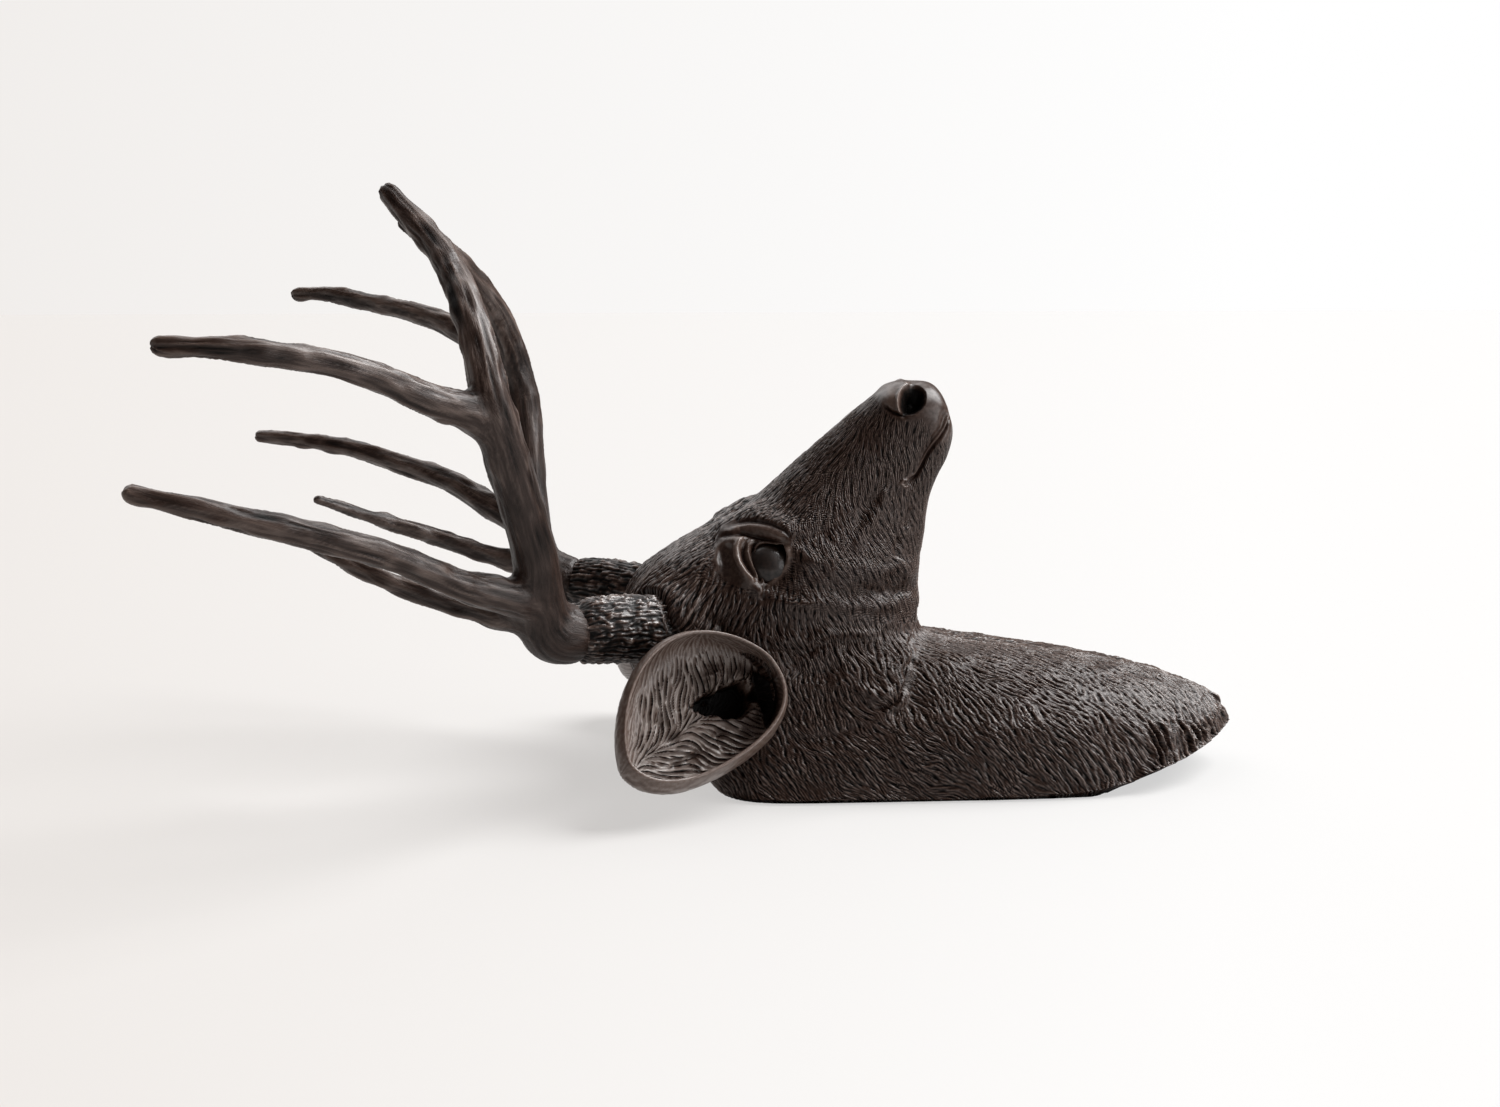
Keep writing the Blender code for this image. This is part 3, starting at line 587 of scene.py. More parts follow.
def hills(x, z, forms):
    """Height of rounded hills, each given by its place, its two radii and its height."""
    height = np.zeros(x.shape)
    for at_x, at_z, radius_x, radius_z, rise in forms:
        height += rise * np.exp(-(((x - at_x) / radius_x) ** 2) - ((z - at_z) / radius_z) ** 2)
    return height


def head_forms(x, y, z):
    """Height of the head's large forms, as on the solid: rounded hills, folds and the step of the jaw."""
    height = hills(x, z, SWELLINGS.values())
    for points, breadth, rise in FOLDS.values():
        height += rise * np.exp(-((distance_to_line(x, z, points)[0] / breadth) ** 2))
    edge = np.exp(-((distance_to_line(x, z, JAW_EDGE)[0] / JAW_REACH) ** 2))
    edge *= ramp(JAW_HEIGHTS[0], JAW_HEIGHTS[1], z) * ramp(JAW_HEIGHTS[3], JAW_HEIGHTS[2], z)
    height += JAW_STEP * edge * (1 - 2 * ramp(-JAW_CREASE / 2, JAW_CREASE / 2, past_jaw(x, z)))
    return height * ramp(0, MIDDLE_BAND, np.abs(y))


def outline_share(x, z, middle, outline):
    """Distance from the middle as a share of the outline's in the same direction, 1 on the outline."""
    apart = np.array(outline) - middle
    around, away = np.arctan2(apart[:, 1], apart[:, 0]), np.hypot(apart[:, 0], apart[:, 1])
    angle = np.arctan2(z - middle[1], x - middle[0])
    return np.hypot(x - middle[0], z - middle[1]) / np.interp(angle, around, away, period=2 * np.pi)


def read(field, row, column, closed=False):
    """A field read between the points of its grid.

    Past its last column it goes on at the first where it is closed, and else with its own mirror image.
    """
    rows, columns = field.shape
    row = np.clip(row, 0, rows - 1.001)
    if closed:
        column = np.mod(column, columns)
    else:
        column = np.abs(column)
        column = (columns - 1.001) - np.abs((columns - 1.001) - column)
    low_row, low_column = row.astype(int), column.astype(int)
    row, column = row - low_row, column - low_column
    next_column = (low_column + 1) % columns
    low_column = low_column % columns
    near = field[low_row, low_column] * (1 - column) + field[low_row, next_column] * column
    far = field[low_row + 1, low_column] * (1 - column) + field[low_row + 1, next_column] * column
    return near * (1 - row) + far * row


def smear(field, ways, reach, step=STEP, closed=False):
    """The field averaged along a way on the surface, as far as the reach to either side of every place."""
    rows, columns = np.indices(field.shape).astype(float)
    total, weight = field.copy(), 1.0
    for direction in (1, -1):
        row, column = rows, columns
        for count in range(1, int(round(reach / step)) + 1):
            by_row, by_column = read(ways[0], row, column, closed), read(ways[1], row, column, closed)
            row, column = row + direction * step * by_row, column + direction * step * by_column
            share = 1 - count * step / (reach + step)
            total = total + share * read(field, row, column, closed)
            weight += share
    return total / weight


def leaned(field, ways, by, closed=False):
    """The field with heights carried ahead and depths back, so that every tuft ends in a steep front."""
    rows, columns = np.indices(field.shape).astype(float)
    return read(field, rows - by * field * ways[0], columns - by * field * ways[1], closed)


def gradients(grid, closed=False):
    """The steps of a grid of points from row to row and from column to column."""
    if not closed:
        return np.gradient(grid, axis=0), np.gradient(grid, axis=1)
    over = (np.roll(grid, -1, axis=1) - np.roll(grid, 1, axis=1)) / 2
    return np.gradient(grid, axis=0), over


def grid_ways(grid, direction, closed=False):
    """A direction on the surface as rows and columns of its grid to a millimetre."""
    down, over = gradients(grid, closed)
    square_down, square_over, both = (down * down).sum(-1), (over * over).sum(-1), (down * over).sum(-1)
    to_down, to_over = (direction * down).sum(-1), (direction * over).sum(-1)
    area = square_down * square_over - both**2 + 1e-12
    rows = (to_down * square_over - to_over * both) / area
    columns = (to_over * square_down - to_down * both) / area
    return np.clip(rows, -8, 8), np.clip(columns, -8, 8)


def strands(seed, along, across, length, breadth, closed=False):
    """Even noise drawn out along the fur and sharpened across it, twice over.

    It is divided by its own local strength, so that it parts into strands of one breadth and depth.
    """
    field = seed - seed.mean()
    step = max(STEP, STRAND_STEP * breadth)
    even, even_step = EVENED * breadth, EVEN_STEP * breadth
    for _ in range(2):
        field = smear(field, along, length, step, closed)
        field = field - smear(field, across, SHARPENED * breadth, CROSS_STEP * breadth, closed)
        power = smear(smear(field**2, along, even, even_step, closed), across, even, even_step, closed)
        field = field / np.sqrt(power + 1e-5)
    return field


def beyond_jaw(x, z):
    """1 on the chest's side of the jaw's edge, 0 on the head's."""
    edge, lower, upper = JAW_PARTS
    return ramp(*edge, past_jaw(x, z)) * ramp(*lower, z) * ramp(*upper, z)


def add_piece(name, points, faces, finish, normals=None, values=None):
    """A smooth mesh of points in millimetres, with its own normals and point attributes where given."""
    mesh = bpy.data.meshes.new(name)
    mesh.vertices.add(len(points))
    mesh.vertices.foreach_set("co", (points * MILLIMETRE).astype(np.float32).ravel())
    sides = faces.shape[1]
    mesh.loops.add(faces.size)
    mesh.loops.foreach_set("vertex_index", faces.astype(np.int32).ravel())
    mesh.polygons.add(len(faces))
    mesh.polygons.foreach_set("loop_start", np.arange(0, faces.size, sides, dtype=np.int32))
    mesh.update(calc_edges=True)
    mesh.shade_smooth()
    for key, value in (values or {}).items():
        vectors = value.size == 3 * len(points)
        layer = mesh.attributes.new(key, "FLOAT_VECTOR" if vectors else "FLOAT", "POINT")
        layer.data.foreach_set("vector" if vectors else "value", value.astype(np.float32).ravel())
    if normals is not None:
        mesh.normals_split_custom_set_from_vertices(normals.astype(np.float32).tolist())
    mesh.materials.append(finish)
    made = bpy.data.objects.new(name, mesh)
    bpy.context.scene.collection.objects.link(made)
    return made


def grid_faces(rows, columns, closed=False, inside_out=False):
    """The four-sided faces of a grid; closed joins the last column to the first."""
    low = np.arange(rows - 1)[:, None] * columns
    column = np.arange(columns if closed else columns - 1)[None, :]
    after = (column + 1) % columns
    corners = [low + column, low + columns + column, low + columns + after, low + after]
    if inside_out:
        corners = corners[::-1]
    return np.stack(corners, axis=-1).reshape(-1, 4)


def cast_surface():
    """The look of the cast and brushed resin as a node group, from a crest value.

    On the fur, skin, ears and pearls the crest value paints light and shade: painted highlight on crests and
    painted shade in grooves and hollows; on the antlers' grain and the eyes it is their own tone. The grain's
    noise adds wear to it, broad stains shift the colour, and fine noise breaks up the gloss. The group puts
    out colour, roughness, gloss and fine height.
    """
    group = bpy.data.node_groups.new("cast_surface", "ShaderNodeTree")
    for way, sockets in SURFACE_SOCKETS.items():
        for socket, kind in sockets.items():
            group.interface.new_socket(socket, in_out=way, socket_type=f"NodeSocket{kind}")
    given, made = group.nodes.new("NodeGroupInput"), group.nodes.new("NodeGroupOutput")
    fineness, crest = given.outputs["Fineness"], given.outputs["Crest"]
    noises = {}
    for kind, source, scale, detail in NOISES:
        if source == "Grain":
            scale = add_math(group, "MULTIPLY", fineness, scale)
        inputs = {"Vector": given.outputs[source], "Scale": scale, "Detail": detail}
        noises[kind] = add_node(group, "TexNoise", inputs).outputs["Fac"]
    # Wear from the grain's noise, added to the crest value's painted highlight and painted shade
    wear_and_painted_light = add_math(group, "MULTIPLY_ADD", noises["grain"], GRAIN_WEAR, crest)
    lowered = add_math(group, "DIVIDE", wear_and_painted_light, TONE_AND_PAINTED_LIGHT_COLOURS[-1][0])
    colours = add_node(group, "ValToRGB", {"Fac": lowered})
    while len(colours.color_ramp.elements) < len(TONE_AND_PAINTED_LIGHT_COLOURS):
        colours.color_ramp.elements.new(0.5)
    for stop, (at, colour) in zip(colours.color_ramp.elements, TONE_AND_PAINTED_LIGHT_COLOURS):
        stop.position = at / TONE_AND_PAINTED_LIGHT_COLOURS[-1][0]
        stop.color = (*colour, 1)
    stain = add_node(group, "ValToRGB", {"Fac": noises["stain"]})
    for stop, at, colour in zip(stain.color_ramp.elements, STAIN_BOUNDS, STAIN_COLOURS):
        stop.position = at
        stop.color = colour
    stained = add_mix(group, colours.outputs["Color"], stain.outputs["Color"], 1.0, "MULTIPLY")
    group.links.new(stained, made.inputs["Color"])
    for kind, source, bounds in (("Roughness", noises["stain"], (*STAIN_BOUNDS, *ROUGHNESS_BOUNDS)),
                                 ("Gloss", wear_and_painted_light, (*GLOSS_BOUNDS, 0.0, 1.0))):
        inputs = dict(zip(("From Min", "From Max", "To Min", "To Max"), bounds))
        spread = add_node(group, "MapRange", {"Value": source, **inputs})
        group.links.new(spread.outputs["Result"], made.inputs[kind])
    group.links.new(noises["speck"], made.inputs["Height"])
    return group


def add_attribute(tree, name):
    """A new node that reads one of the mesh's own attributes."""
    node = tree.nodes.new("ShaderNodeAttribute")
    node.attribute_name = name
    return node


def resin(name, group, coat, coat_roughness, specular, bump, grained=False):
    """A resin finish: the cast surface's group on object coordinates and the crest attribute.

    A grained finish takes its fine noise along the piece's own grain attribute.
    """
    finish, tree = add_material(name)
    place = add_node(tree, "TexCoord", {}).outputs["Object"]
    look = tree.nodes.new("ShaderNodeGroup")
    look.node_tree = group
    feed(tree, look, {
        "Vector": place,
        "Grain": add_attribute(tree, "grain").outputs["Vector"] if grained else place,
        "Fineness": GRAIN_FINENESS if grained else 1 / MILLIMETRE,
        "Crest": add_attribute(tree, "crest").outputs["Fac"],
    })
    rough = add_node(tree, "Bump", {
        "Strength": bump,
        "Distance": BUMP_DEPTH[grained],
        "Height": look.outputs["Height"],
    })
    feed(tree, tree.nodes["Principled BSDF"], {
        "Base Color": look.outputs["Color"],
        "Roughness": look.outputs["Roughness"],
        "Normal": rough.outputs["Normal"],
        "Coat Weight": add_math(tree, "MULTIPLY", look.outputs["Gloss"], coat),
        "Coat Roughness": coat_roughness,
        "Specular IOR Level": specular,
    })
    return finish


cast_look = cast_surface()
black_resin = resin("black_resin", cast_look, coat=0.72, coat_roughness=0.31, specular=0.06, bump=0.25)

stations = even_stations(BODY_ROWS)
turns = even_turns(stations, BODY_COLUMNS)
station_grid = stations[:, None] * np.ones(BODY_COLUMNS)
body = bare_body(station_grid, turns)
rising = ramp(0.0, NOSE_TIP, station_grid)
body = body + level_middle(outward(body)) * (head_forms(*np.moveaxis(body, -1, 0)) * rising)[..., None]
body[:, [0, -1], 1] = 0
x, y, z = np.moveaxis(body, -1, 0)
beside = ramp(*SIDE_STARTS, np.abs(y))
on_side = beside * rising
fine = np.zeros(x.shape)
skin = np.zeros(x.shape)
waver = drift(body, FOLD_WAVES[0], 14), drift(body, FOLD_WAVES[1], 15)
for lines, bare in ((FACE_LINES, 1.0), (FUR_FOLDS, 0.0)):
    for points, breadth, rise in lines.values():
        blur = FOLD_WAVER * (1 - bare)
        away, along = distance_to_line(x + blur * waver[0], z + blur * waver[1], points)
        tapered = ramp(*LINE_START, along) * ramp(*LINE_END, along)
        fine += rise * np.exp(-((away / breadth) ** 2)) * tapered
        skin = np.maximum(skin, bare * np.exp(-((away / (breadth + SKIN_SPREAD)) ** 2)))
fine += hills(x, z, FACE_HILLS.values())
eye = outline_share(x, z, EYE_MIDDLE, EYE_OUTLINE)
nostril = outline_share(x, z, NOSTRIL_MIDDLE, NOSTRIL_OUTLINE)
eye_skin = outline_share(x, z, EYE_SKIN_MIDDLE, EYE_SKIN)
nose_skin = outline_share(x, z, NOSE_SKIN_MIDDLE, NOSE_SKIN)
fine = fine * ramp(*EYE_CLEAR, eye) * ramp(*NOSTRIL_CLEAR, nostril)
fine -= EYE_SUNK * ramp(*EYE_EDGE, eye) + NOSTRIL_SUNK * ramp(*NOSTRIL_EDGE, nostril)
skin = np.maximum(skin, ramp(*EYE_SKIN_EDGE, eye_skin))
skin = np.maximum(skin, ramp(*NOSE_SKIN_EDGE, nose_skin))
skin = np.maximum(skin * beside, ramp(*NOSE_TOP_EDGE, nose_skin))
normal = level_middle(outward(body))
body = body + normal * (fine * on_side)[..., None]

# The fur is drawn on the surface: noise is smeared along the way that the fur lies
chest_side = BEYOND_JAW * beyond_jaw(x, z)
total, way = 0.0, 0.0
for at_x, at_z, degrees in FUR_WAYS:
    apart = (x - at_x) ** 2 + (z - at_z) ** 2 + (chest_side - BEYOND_JAW * beyond_jaw(at_x, at_z)) ** 2
    weight = np.exp(-apart / (2 * FUR_WAY_REACH**2)) + 1e-9
    total, way = total + weight, way + weight * degrees
chest = ramp(*CHEST_STARTS, station_grid)
unruly = (1 + UNRULY * chest) * (SWAY[0] * drift(body, SWAY[1]) + SWIRL[0] * drift(body, SWIRL[1], 1))
way = np.radians(way / total + unruly)
spread = CHEST_SPREAD * chest * ramp(0, SPREAD_STARTS, np.abs(y))
lie = np.stack([np.cos(way), -np.sin(way) * spread, -np.sin(way)], axis=-1)
lie = unit(lie - normal * (lie * normal).sum(axis=-1)[..., None])
along, across = grid_ways(body, lie), grid_ways(body, np.cross(normal, lie))
lengths = STRAND_LENGTH, CHEST_LENGTH * STRAND_LENGTH
fine_strand = strands(drift(body, STRAND_BREADTH[0], 2), along, across, lengths[0], STRAND_BREADTH[0])
long_strand = strands(drift(body, STRAND_BREADTH[1], 3), along, across, lengths[1], STRAND_BREADTH[1])
tuft = strands(drift(body, TUFT_BREADTH, 4), along, across, TUFT_LENGTH, TUFT_BREADTH)
lock = strands(drift(body, RIM_LOCKS[1], 5), along, across, RIM_LOCKS[0], RIM_LOCKS[1])
grown = ramp(*FUR_STARTS, station_grid)
strand = np.tanh(fine_strand * (1 - chest) + long_strand * chest)
gap_in_fur = leaned(ramp(*GAP_STARTS, tuft), along, TUFT_LEAN)
tuft = leaned(np.tanh(TUFT_SHARPNESS * tuft), along, TUFT_LEAN)
lock = leaned(np.tanh(LOCK_SHARPNESS * lock), along, LOCK_LEAN)
strand_relief, tuft_relief, gap_relief = [low + (middle - low) * grown + (high - middle) * chest
                                          for low, middle, high in (STRAND_RELIEF, TUFT_RELIEF, TUFT_GAP)]
patch = STRAND_PATCH[1] + STRAND_PATCH[2] * drift(body, STRAND_PATCH[0], 6)
calm = CALM[0] + (1 - CALM[0]) * ramp(*CALM[1:], z)
hill = drift(body, HILL[0], 16) * HILL[1] * grown
seat_away = body - SEAT[0]
seat_away = np.linalg.norm(seat_away - (seat_away @ np.array(SEAT[1]))[..., None] * SEAT[1], axis=-1)
near_seat = ramp(*SEAT_REACH, x)
seat_locks = SEAT_LOCKS[2] * np.exp(-(((seat_away - SEAT_LOCKS[0]) / SEAT_LOCKS[1]) ** 2)) * near_seat
rim_away = np.linalg.norm(body - body[-1:], axis=-1)
by_rim = ramp(*RIM_STARTS, x)
on_rim = RIM_FADE[0] + (1 - RIM_FADE[0]) * ramp(0, RIM_FADE[1], rim_away)
rim_locks = RIM_LOCKS[2] * ramp(RIM_LOCKS[3], RIM_FADE[2], rim_away) * on_rim * by_rim
rim_locks = rim_locks * (RIM_UNEVEN[1] + RIM_UNEVEN[2] * drift(body, RIM_UNEVEN[0], 17))
height = strand * strand_relief * patch + hill + (tuft * tuft_relief - gap_in_fur * gap_relief) * calm
height += lock * (rim_locks + seat_locks)
height += RIM_LUMPS[0] * drift(body, RIM_LUMPS[1], 18) * ramp(*RIM_LUMPS_REACH, rim_away) * by_rim
height = height * (1 - skin) / 2
height += SEAT_GROOVE[2] * np.exp(-(((seat_away - SEAT_GROOVE[0]) / SEAT_GROOVE[1]) ** 2)) * near_seat
body = body + level_middle(outward(body)) * (height * rising)[..., None]
body[:, [0, -1], 1] = 0
body[..., 2] = np.maximum(body[..., 2], LOWEST)
# Painted light on the fur: crests of strands, tufts and locks painted lighter as painted highlight, and the
# gaps between tufts painted darker as painted shade
painted_light_and_shade = CREST_LEVEL + (CREST_STRAND - CREST_CHEST * chest) * strand * patch + CREST_TUFT * tuft
painted_light_and_shade -= GAP_PAINTED_SHADE * gap_in_fur * calm
painted_light_and_shade = np.clip(painted_light_and_shade + CREST_LOCK * lock * np.minimum(rim_locks + seat_locks, 1), 0, 1)
# Bare skin painted lighter on its ridges and darker in its creases and sunk places: painted highlight and
# painted shade
skin_tone_and_painted_light = np.clip(SKIN_CREST[0] + SKIN_CREST[1] * fine, *SKIN_CREST[2:])
painted_light_and_shade = painted_light_and_shade * (1 - skin) + skin_tone_and_painted_light * skin
# Painted shade: the eye's and nostril's openings are painted darker inside their outlines
for share, (darker, starts, full) in ((eye, EYE_PAINTED_SHADE), (nostril, NOSTRIL_PAINTED_SHADE)):
    painted_light_and_shade *= 1 - darker * ramp(starts, full, share) * on_side

# The head's surface is drawn back behind the bowl of the ear
ear_length = unit(EAR_TIP - EAR_ROOT)
ear_facing = unit(EAR_FACING - ear_length * (EAR_FACING @ ear_length))
ear_across = np.cross(ear_facing, ear_length)
from_ear = body - EAR_ROOT
ear_along, ear_side, ear_ahead = from_ear @ ear_length, from_ear @ ear_across, from_ear @ ear_facing
to_middle = ear_along / EAR_LENGTH - EAR_MIDDLE
to_middle = to_middle / (np.where(to_middle > 0, 1 - EAR_MIDDLE, EAR_MIDDLE) - EAR_WALL / EAR_LENGTH)
bow = EAR_BOW * EAR_LENGTH * np.sin(np.pi * ear_along / EAR_LENGTH)
to_side = (ear_side + bow) / (EAR_WIDTH / 2 - EAR_WALL)
in_ear = to_middle**2 + to_side**2
floor = -EAR_DEPTH * np.sqrt(np.clip(1 - in_ear, 0, 1)) - HOLE_ROOM
drawn = np.where((in_ear < 1) & (ear_ahead > floor) & (y < 0), ear_ahead - floor, 0)
body = body - drawn[..., None] * ear_facing

rim = body[-1]
lifted = EDGE_RISES_FROM + (rim[:, 0] - EDGE_RISES_FROM) * FLAT_BACK_SHARE
back = np.stack([
    np.where(rim[:, 0] > EDGE_RISES_FROM, lifted, rim[:, 0] * BACK_INSET[0]),
    rim[:, 1] * BACK_INSET[1],
    np.zeros(len(rim)),
], axis=-1)
normals = level_middle(outward(body))

parted = np.searchsorted(stations, PARTED_AT) // 2 * 2
spans = {
    "muzzle": (0, parted[0] + 1, HEAD_STEP),
    "cheek": (parted[0], parted[1] + 1, HEAD_STEP),
    "neck": (parted[1], parted[2] + 1, 1),
    "chest": (parted[2], BODY_ROWS, 1),
}
back_rows = np.stack([back, back * (1, 0.5, 1), back * (1, 0, 1)])
for side, hand, step in ((1, "right", 1), (-1, "left", 2)):
    flip = np.array([1, side, 1])
    for name, (first, last, wider) in spans.items():
        points, normal, value = [field[first:last:step, ::step * wider].copy()
                                 for field in (body, normals, painted_light_and_shade)]
        if name == "neck":
            for field in (points, normal):
                field[0, 1:-1:2] = (field[0, 0:-2:2] + field[0, 2::2]) / 2
        if name == "chest":
            points = np.concatenate([points, back[None, ::step], back_rows[:, ::step]])
            rim_out = (normal[-1:] + (0, 0, -1.0)) / 2
            normal = np.concatenate([normal, rim_out, np.broadcast_to((0, 0, -1.0), (3, *points.shape[1:]))])
            value = np.concatenate([value, np.zeros((4, points.shape[1]))])
        faces = grid_faces(*points.shape[:2], inside_out=side < 0)
        made = add_piece(f"{name}_{hand}", (points * flip).reshape(-1, 3), faces, black_resin,
                         (normal * flip).reshape(-1, 3), {"crest": value})
        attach(made, "root")
        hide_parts("head_and_neck")

# Eyes: smooth resin balls, in the real one cast in one with the head and polished, so glossier than the fur.
# Each is seated in its lids and mostly sunk in the head.
EYE_PLACE = np.array([-108.3, -33.6, 110.6])
EYE_RADIUS = 13.0
EYE_ROWS, EYE_COLUMNS = 28, 44
EYE_CREST = 0.3

eye_resin = resin("eye_resin", cast_look, coat=1.0, coat_roughness=0.14, specular=0.3, bump=0.1)
rows_at = np.linspace(0, np.pi, EYE_ROWS)[:, None]
columns_at = np.linspace(0, 2 * np.pi, EYE_COLUMNS, endpoint=False)[None, :]
ball = EYE_RADIUS * np.stack([
    np.sin(rows_at) * np.cos(columns_at),
    -np.cos(rows_at) * np.ones_like(columns_at),
    np.sin(rows_at) * np.sin(columns_at),
], axis=-1)
for side, hand in ((1, "right"), (-1, "left")):
    flip = np.array([1, side, 1])
    made = add_piece(f"eye_{hand}", ((ball + EYE_PLACE) * flip).reshape(-1, 3),
                     grid_faces(EYE_ROWS, EYE_COLUMNS, closed=True, inside_out=side < 0), eye_resin,
                     None, {"crest": np.full(EYE_ROWS * EYE_COLUMNS, EYE_CREST)})
    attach(made, "root")
    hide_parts("head_and_neck")

# Ears: bowls of the same resin, cast in one with the head, their rims curled in. Long hair in relief lies
# in the bowl and sweeps to the valley along it, and short fur covers the rim and the back.
EAR_CURL = np.radians(110)
EAR_LEAN = 3.5
EAR_LIP = 1.8
EAR_FLOOR = 7.0  # how much thicker the floor is than the wall
EAR_FLOOR_SHIFT = 0.12
# How full the bowl is: towards the tip on its lower and upper edge, and the same towards the root
EAR_FORM = (1.12, 1.32, 0.8, 1.25)
EAR_UPPER = 0.95  # breadth of its upper half
EAR_INNER_ROWS, EAR_RIM_ROWS, EAR_OUTER_ROWS, EAR_COLUMNS = 104, 7, 24, 350
# Forms in the bowl: place along and across the ear, radii, and height, sunk where negative
EAR_FORMS = {
    "rough tuft": (27, -13, 6.5, 4.5, 4.5),
    "hanging tuft": (14.5, -4.5, 5, 4, 5.0),
    "end of the hanging tuft": (18.5, 1.5, 2.6, 3, 5.0),
    "rolled tuft": (19.5, 11.5, 4, 3.6, 4.5),
    "gap before the hole": (41, 10.5, 4.0, 2.4, -3.5),
    "gap in the lower hair": (60.8, 11.3, 6.0, 2.0, -3.0),
    "gap by the tip": (70, 9.5, 4.0, 2.0, -2.5),
    "gap in the valley": (62.5, -1.5, 4.0, 2.6, -2.5),
    "gap over the valley": (63.5, -10.5, 4.0, 2.6, -2.5),
}
# The ear's hole, sunk deep and painted darker as painted shade
EAR_HOLE_MIDDLE = (26.0, 0.5)
EAR_HOLE = [
    (43.0, -7.9), (35.7, -9.5), (28.7, -7.5), (21.0, -6.3), (15.0, -3.5), (14.0, 3.0), (16.4, 8.0),
    (20.5, 9.0), (24.5, 11.5), (30.3, 8.2), (35.7, 2.3),
]
EAR_HOLE_DEPTH = 10.0
EAR_HOLE_EDGE = (1.12, 0.78)  # shares of its outline over which it starts
EAR_HOLE_RAGGED = (0.1, 3.0)  # how ragged its edge is, and over how many millimetres
# The wall at the ear's root that lies in shade: sunk, bare of hair and painted darker as painted shade
EAR_DARK_MIDDLE = (11.5, 9.5)
EAR_DARK = [
    (7.8, -5.5), (3.2, 1.6), (0.9, 9.7), (3.2, 19.1), (9.9, 26.2), (18.7, 28.6), (21.4, 23.9),
    (17.9, 16.9), (16.0, 9.6), (14.4, 4.8), (11.8, 1.2),
]
EAR_DARK_DEPTH = 2.6
EAR_DARK_EDGE, EAR_DARK_ENDS = (1.1, 0.85), (1.75, 1.5)  # shares of its outline, and angles up the bowl
EAR_VALLEY = ([(92, 0), (78.9, -1.2), (64.7, -2.4), (50.7, -1.7), (39.3, -0.6), (20, 4)], 4.5, -2.0)
EAR_SWEEP = 0.6  # how far the hair in the bowl leans to the tip for one step to the valley
EAR_HAIR = (5.5, 0.95, 1.05)  # half length, half breadth and relief of the hair in the bowl
EAR_FINE = (3.0, 0.6, 0.24)  # the same of the finer strokes over everything
EAR_HAIR_STARTS = (1.22, 0.20)  # angle up the bowl, and how much less it is at the upper edge
EAR_HAIR_EDGE, EAR_HAIR_RAGGED = (0.12, -0.12), (0.2, 4.0)
EAR_GAP = (0.1, -1.9)  # values of the hair's noise over which a gap deepens
EAR_SWAYS = ((0.5, 12.0), (0.25, 5.0))  # how far the hair sways, and over how many millimetres
VALLEY_BREADTH, EAR_BACK_SWEEP = 7, 0.5  # where the sweep turns round, and how far it spreads behind the ear
EAR_FORMS_END = (1.55, 1.1)  # angles up the bowl over which its forms end
EAR_RIM_CALM = (0.25, 0.25)  # share of the fine strokes on the rim, and the angle to where they are full
EAR_BUMPS, EAR_BUMP_SIZE = (27, -13, 7, 5, 1.1), 1.8  # on the rough tuft: place, radii, relief, and size
# How light the ear is: bare resin, what fine strokes change as painted highlight and shade, and in the hair:
# its crests as painted highlight, its strokes, and its gaps as painted shade
EAR_CREST, EAR_CREST_MOST = (0.84, 0.2, 0.52, 0.12, 1.6), 1.35
# Painted highlight on the hair's crests, full deep in the bowl and fading out towards the rim
HAIR_PAINTED_LIGHT = (1.75, 1.3)  # angles up the bowl over which the hair's crests get light
# How much darker the hole and the shaded wall are painted: painted shade
EAR_HOLE_PAINTED_SHADE, EAR_WALL_PAINTED_SHADE = 0.95, 0.8
# Angles of the bowl's first row, of the back's last row, and how evenly the rows inside are spread
EAR_FIRST_ROW, EAR_LAST_ROW, EAR_ROW_SPREAD = 0.02, 0.15, 0.9
EAR_WALL_ENDS, EAR_FLOOR_ENDS = 0.9, (1.35, 0.5)  # angles where the wall is whole and the thick floor ends


def ear_bowl(turn, angle, inset):
    """The ear's bowl, moved in by the inset: an ellipsoid, bowed sideways along its length.

    The angle runs from its floor to its rim, and the turn round it from the tip.
    """
    towards_tip = np.cos(turn)
    end = np.where(towards_tip > 0, 1 - EAR_MIDDLE, EAR_MIDDLE) * EAR_LENGTH - inset
    lower = np.sin(turn) > 0
    power = np.where(towards_tip > 0, np.where(lower, *EAR_FORM[:2]), np.where(lower, *EAR_FORM[2:]))
    out = np.abs(np.sin(turn)) ** power * np.where(lower, 1, -EAR_UPPER)
    along = EAR_MIDDLE * EAR_LENGTH + end * towards_tip * np.sin(angle)
    along = along - EAR_FLOOR_SHIFT * EAR_LENGTH * np.maximum(np.cos(angle), 0)
    bow = EAR_BOW * EAR_LENGTH * np.sin(np.pi * along / EAR_LENGTH)
    sideways = (EAR_WIDTH / 2 - inset) * out * np.sin(angle) - bow - EAR_LEAN * ramp(1.0, EAR_CURL, angle)
    forward = -(EAR_DEPTH - inset) * np.cos(angle)
    place = EAR_ROOT + along[..., None] * ear_length
    return place + sideways[..., None] * ear_across + forward[..., None] * ear_facing


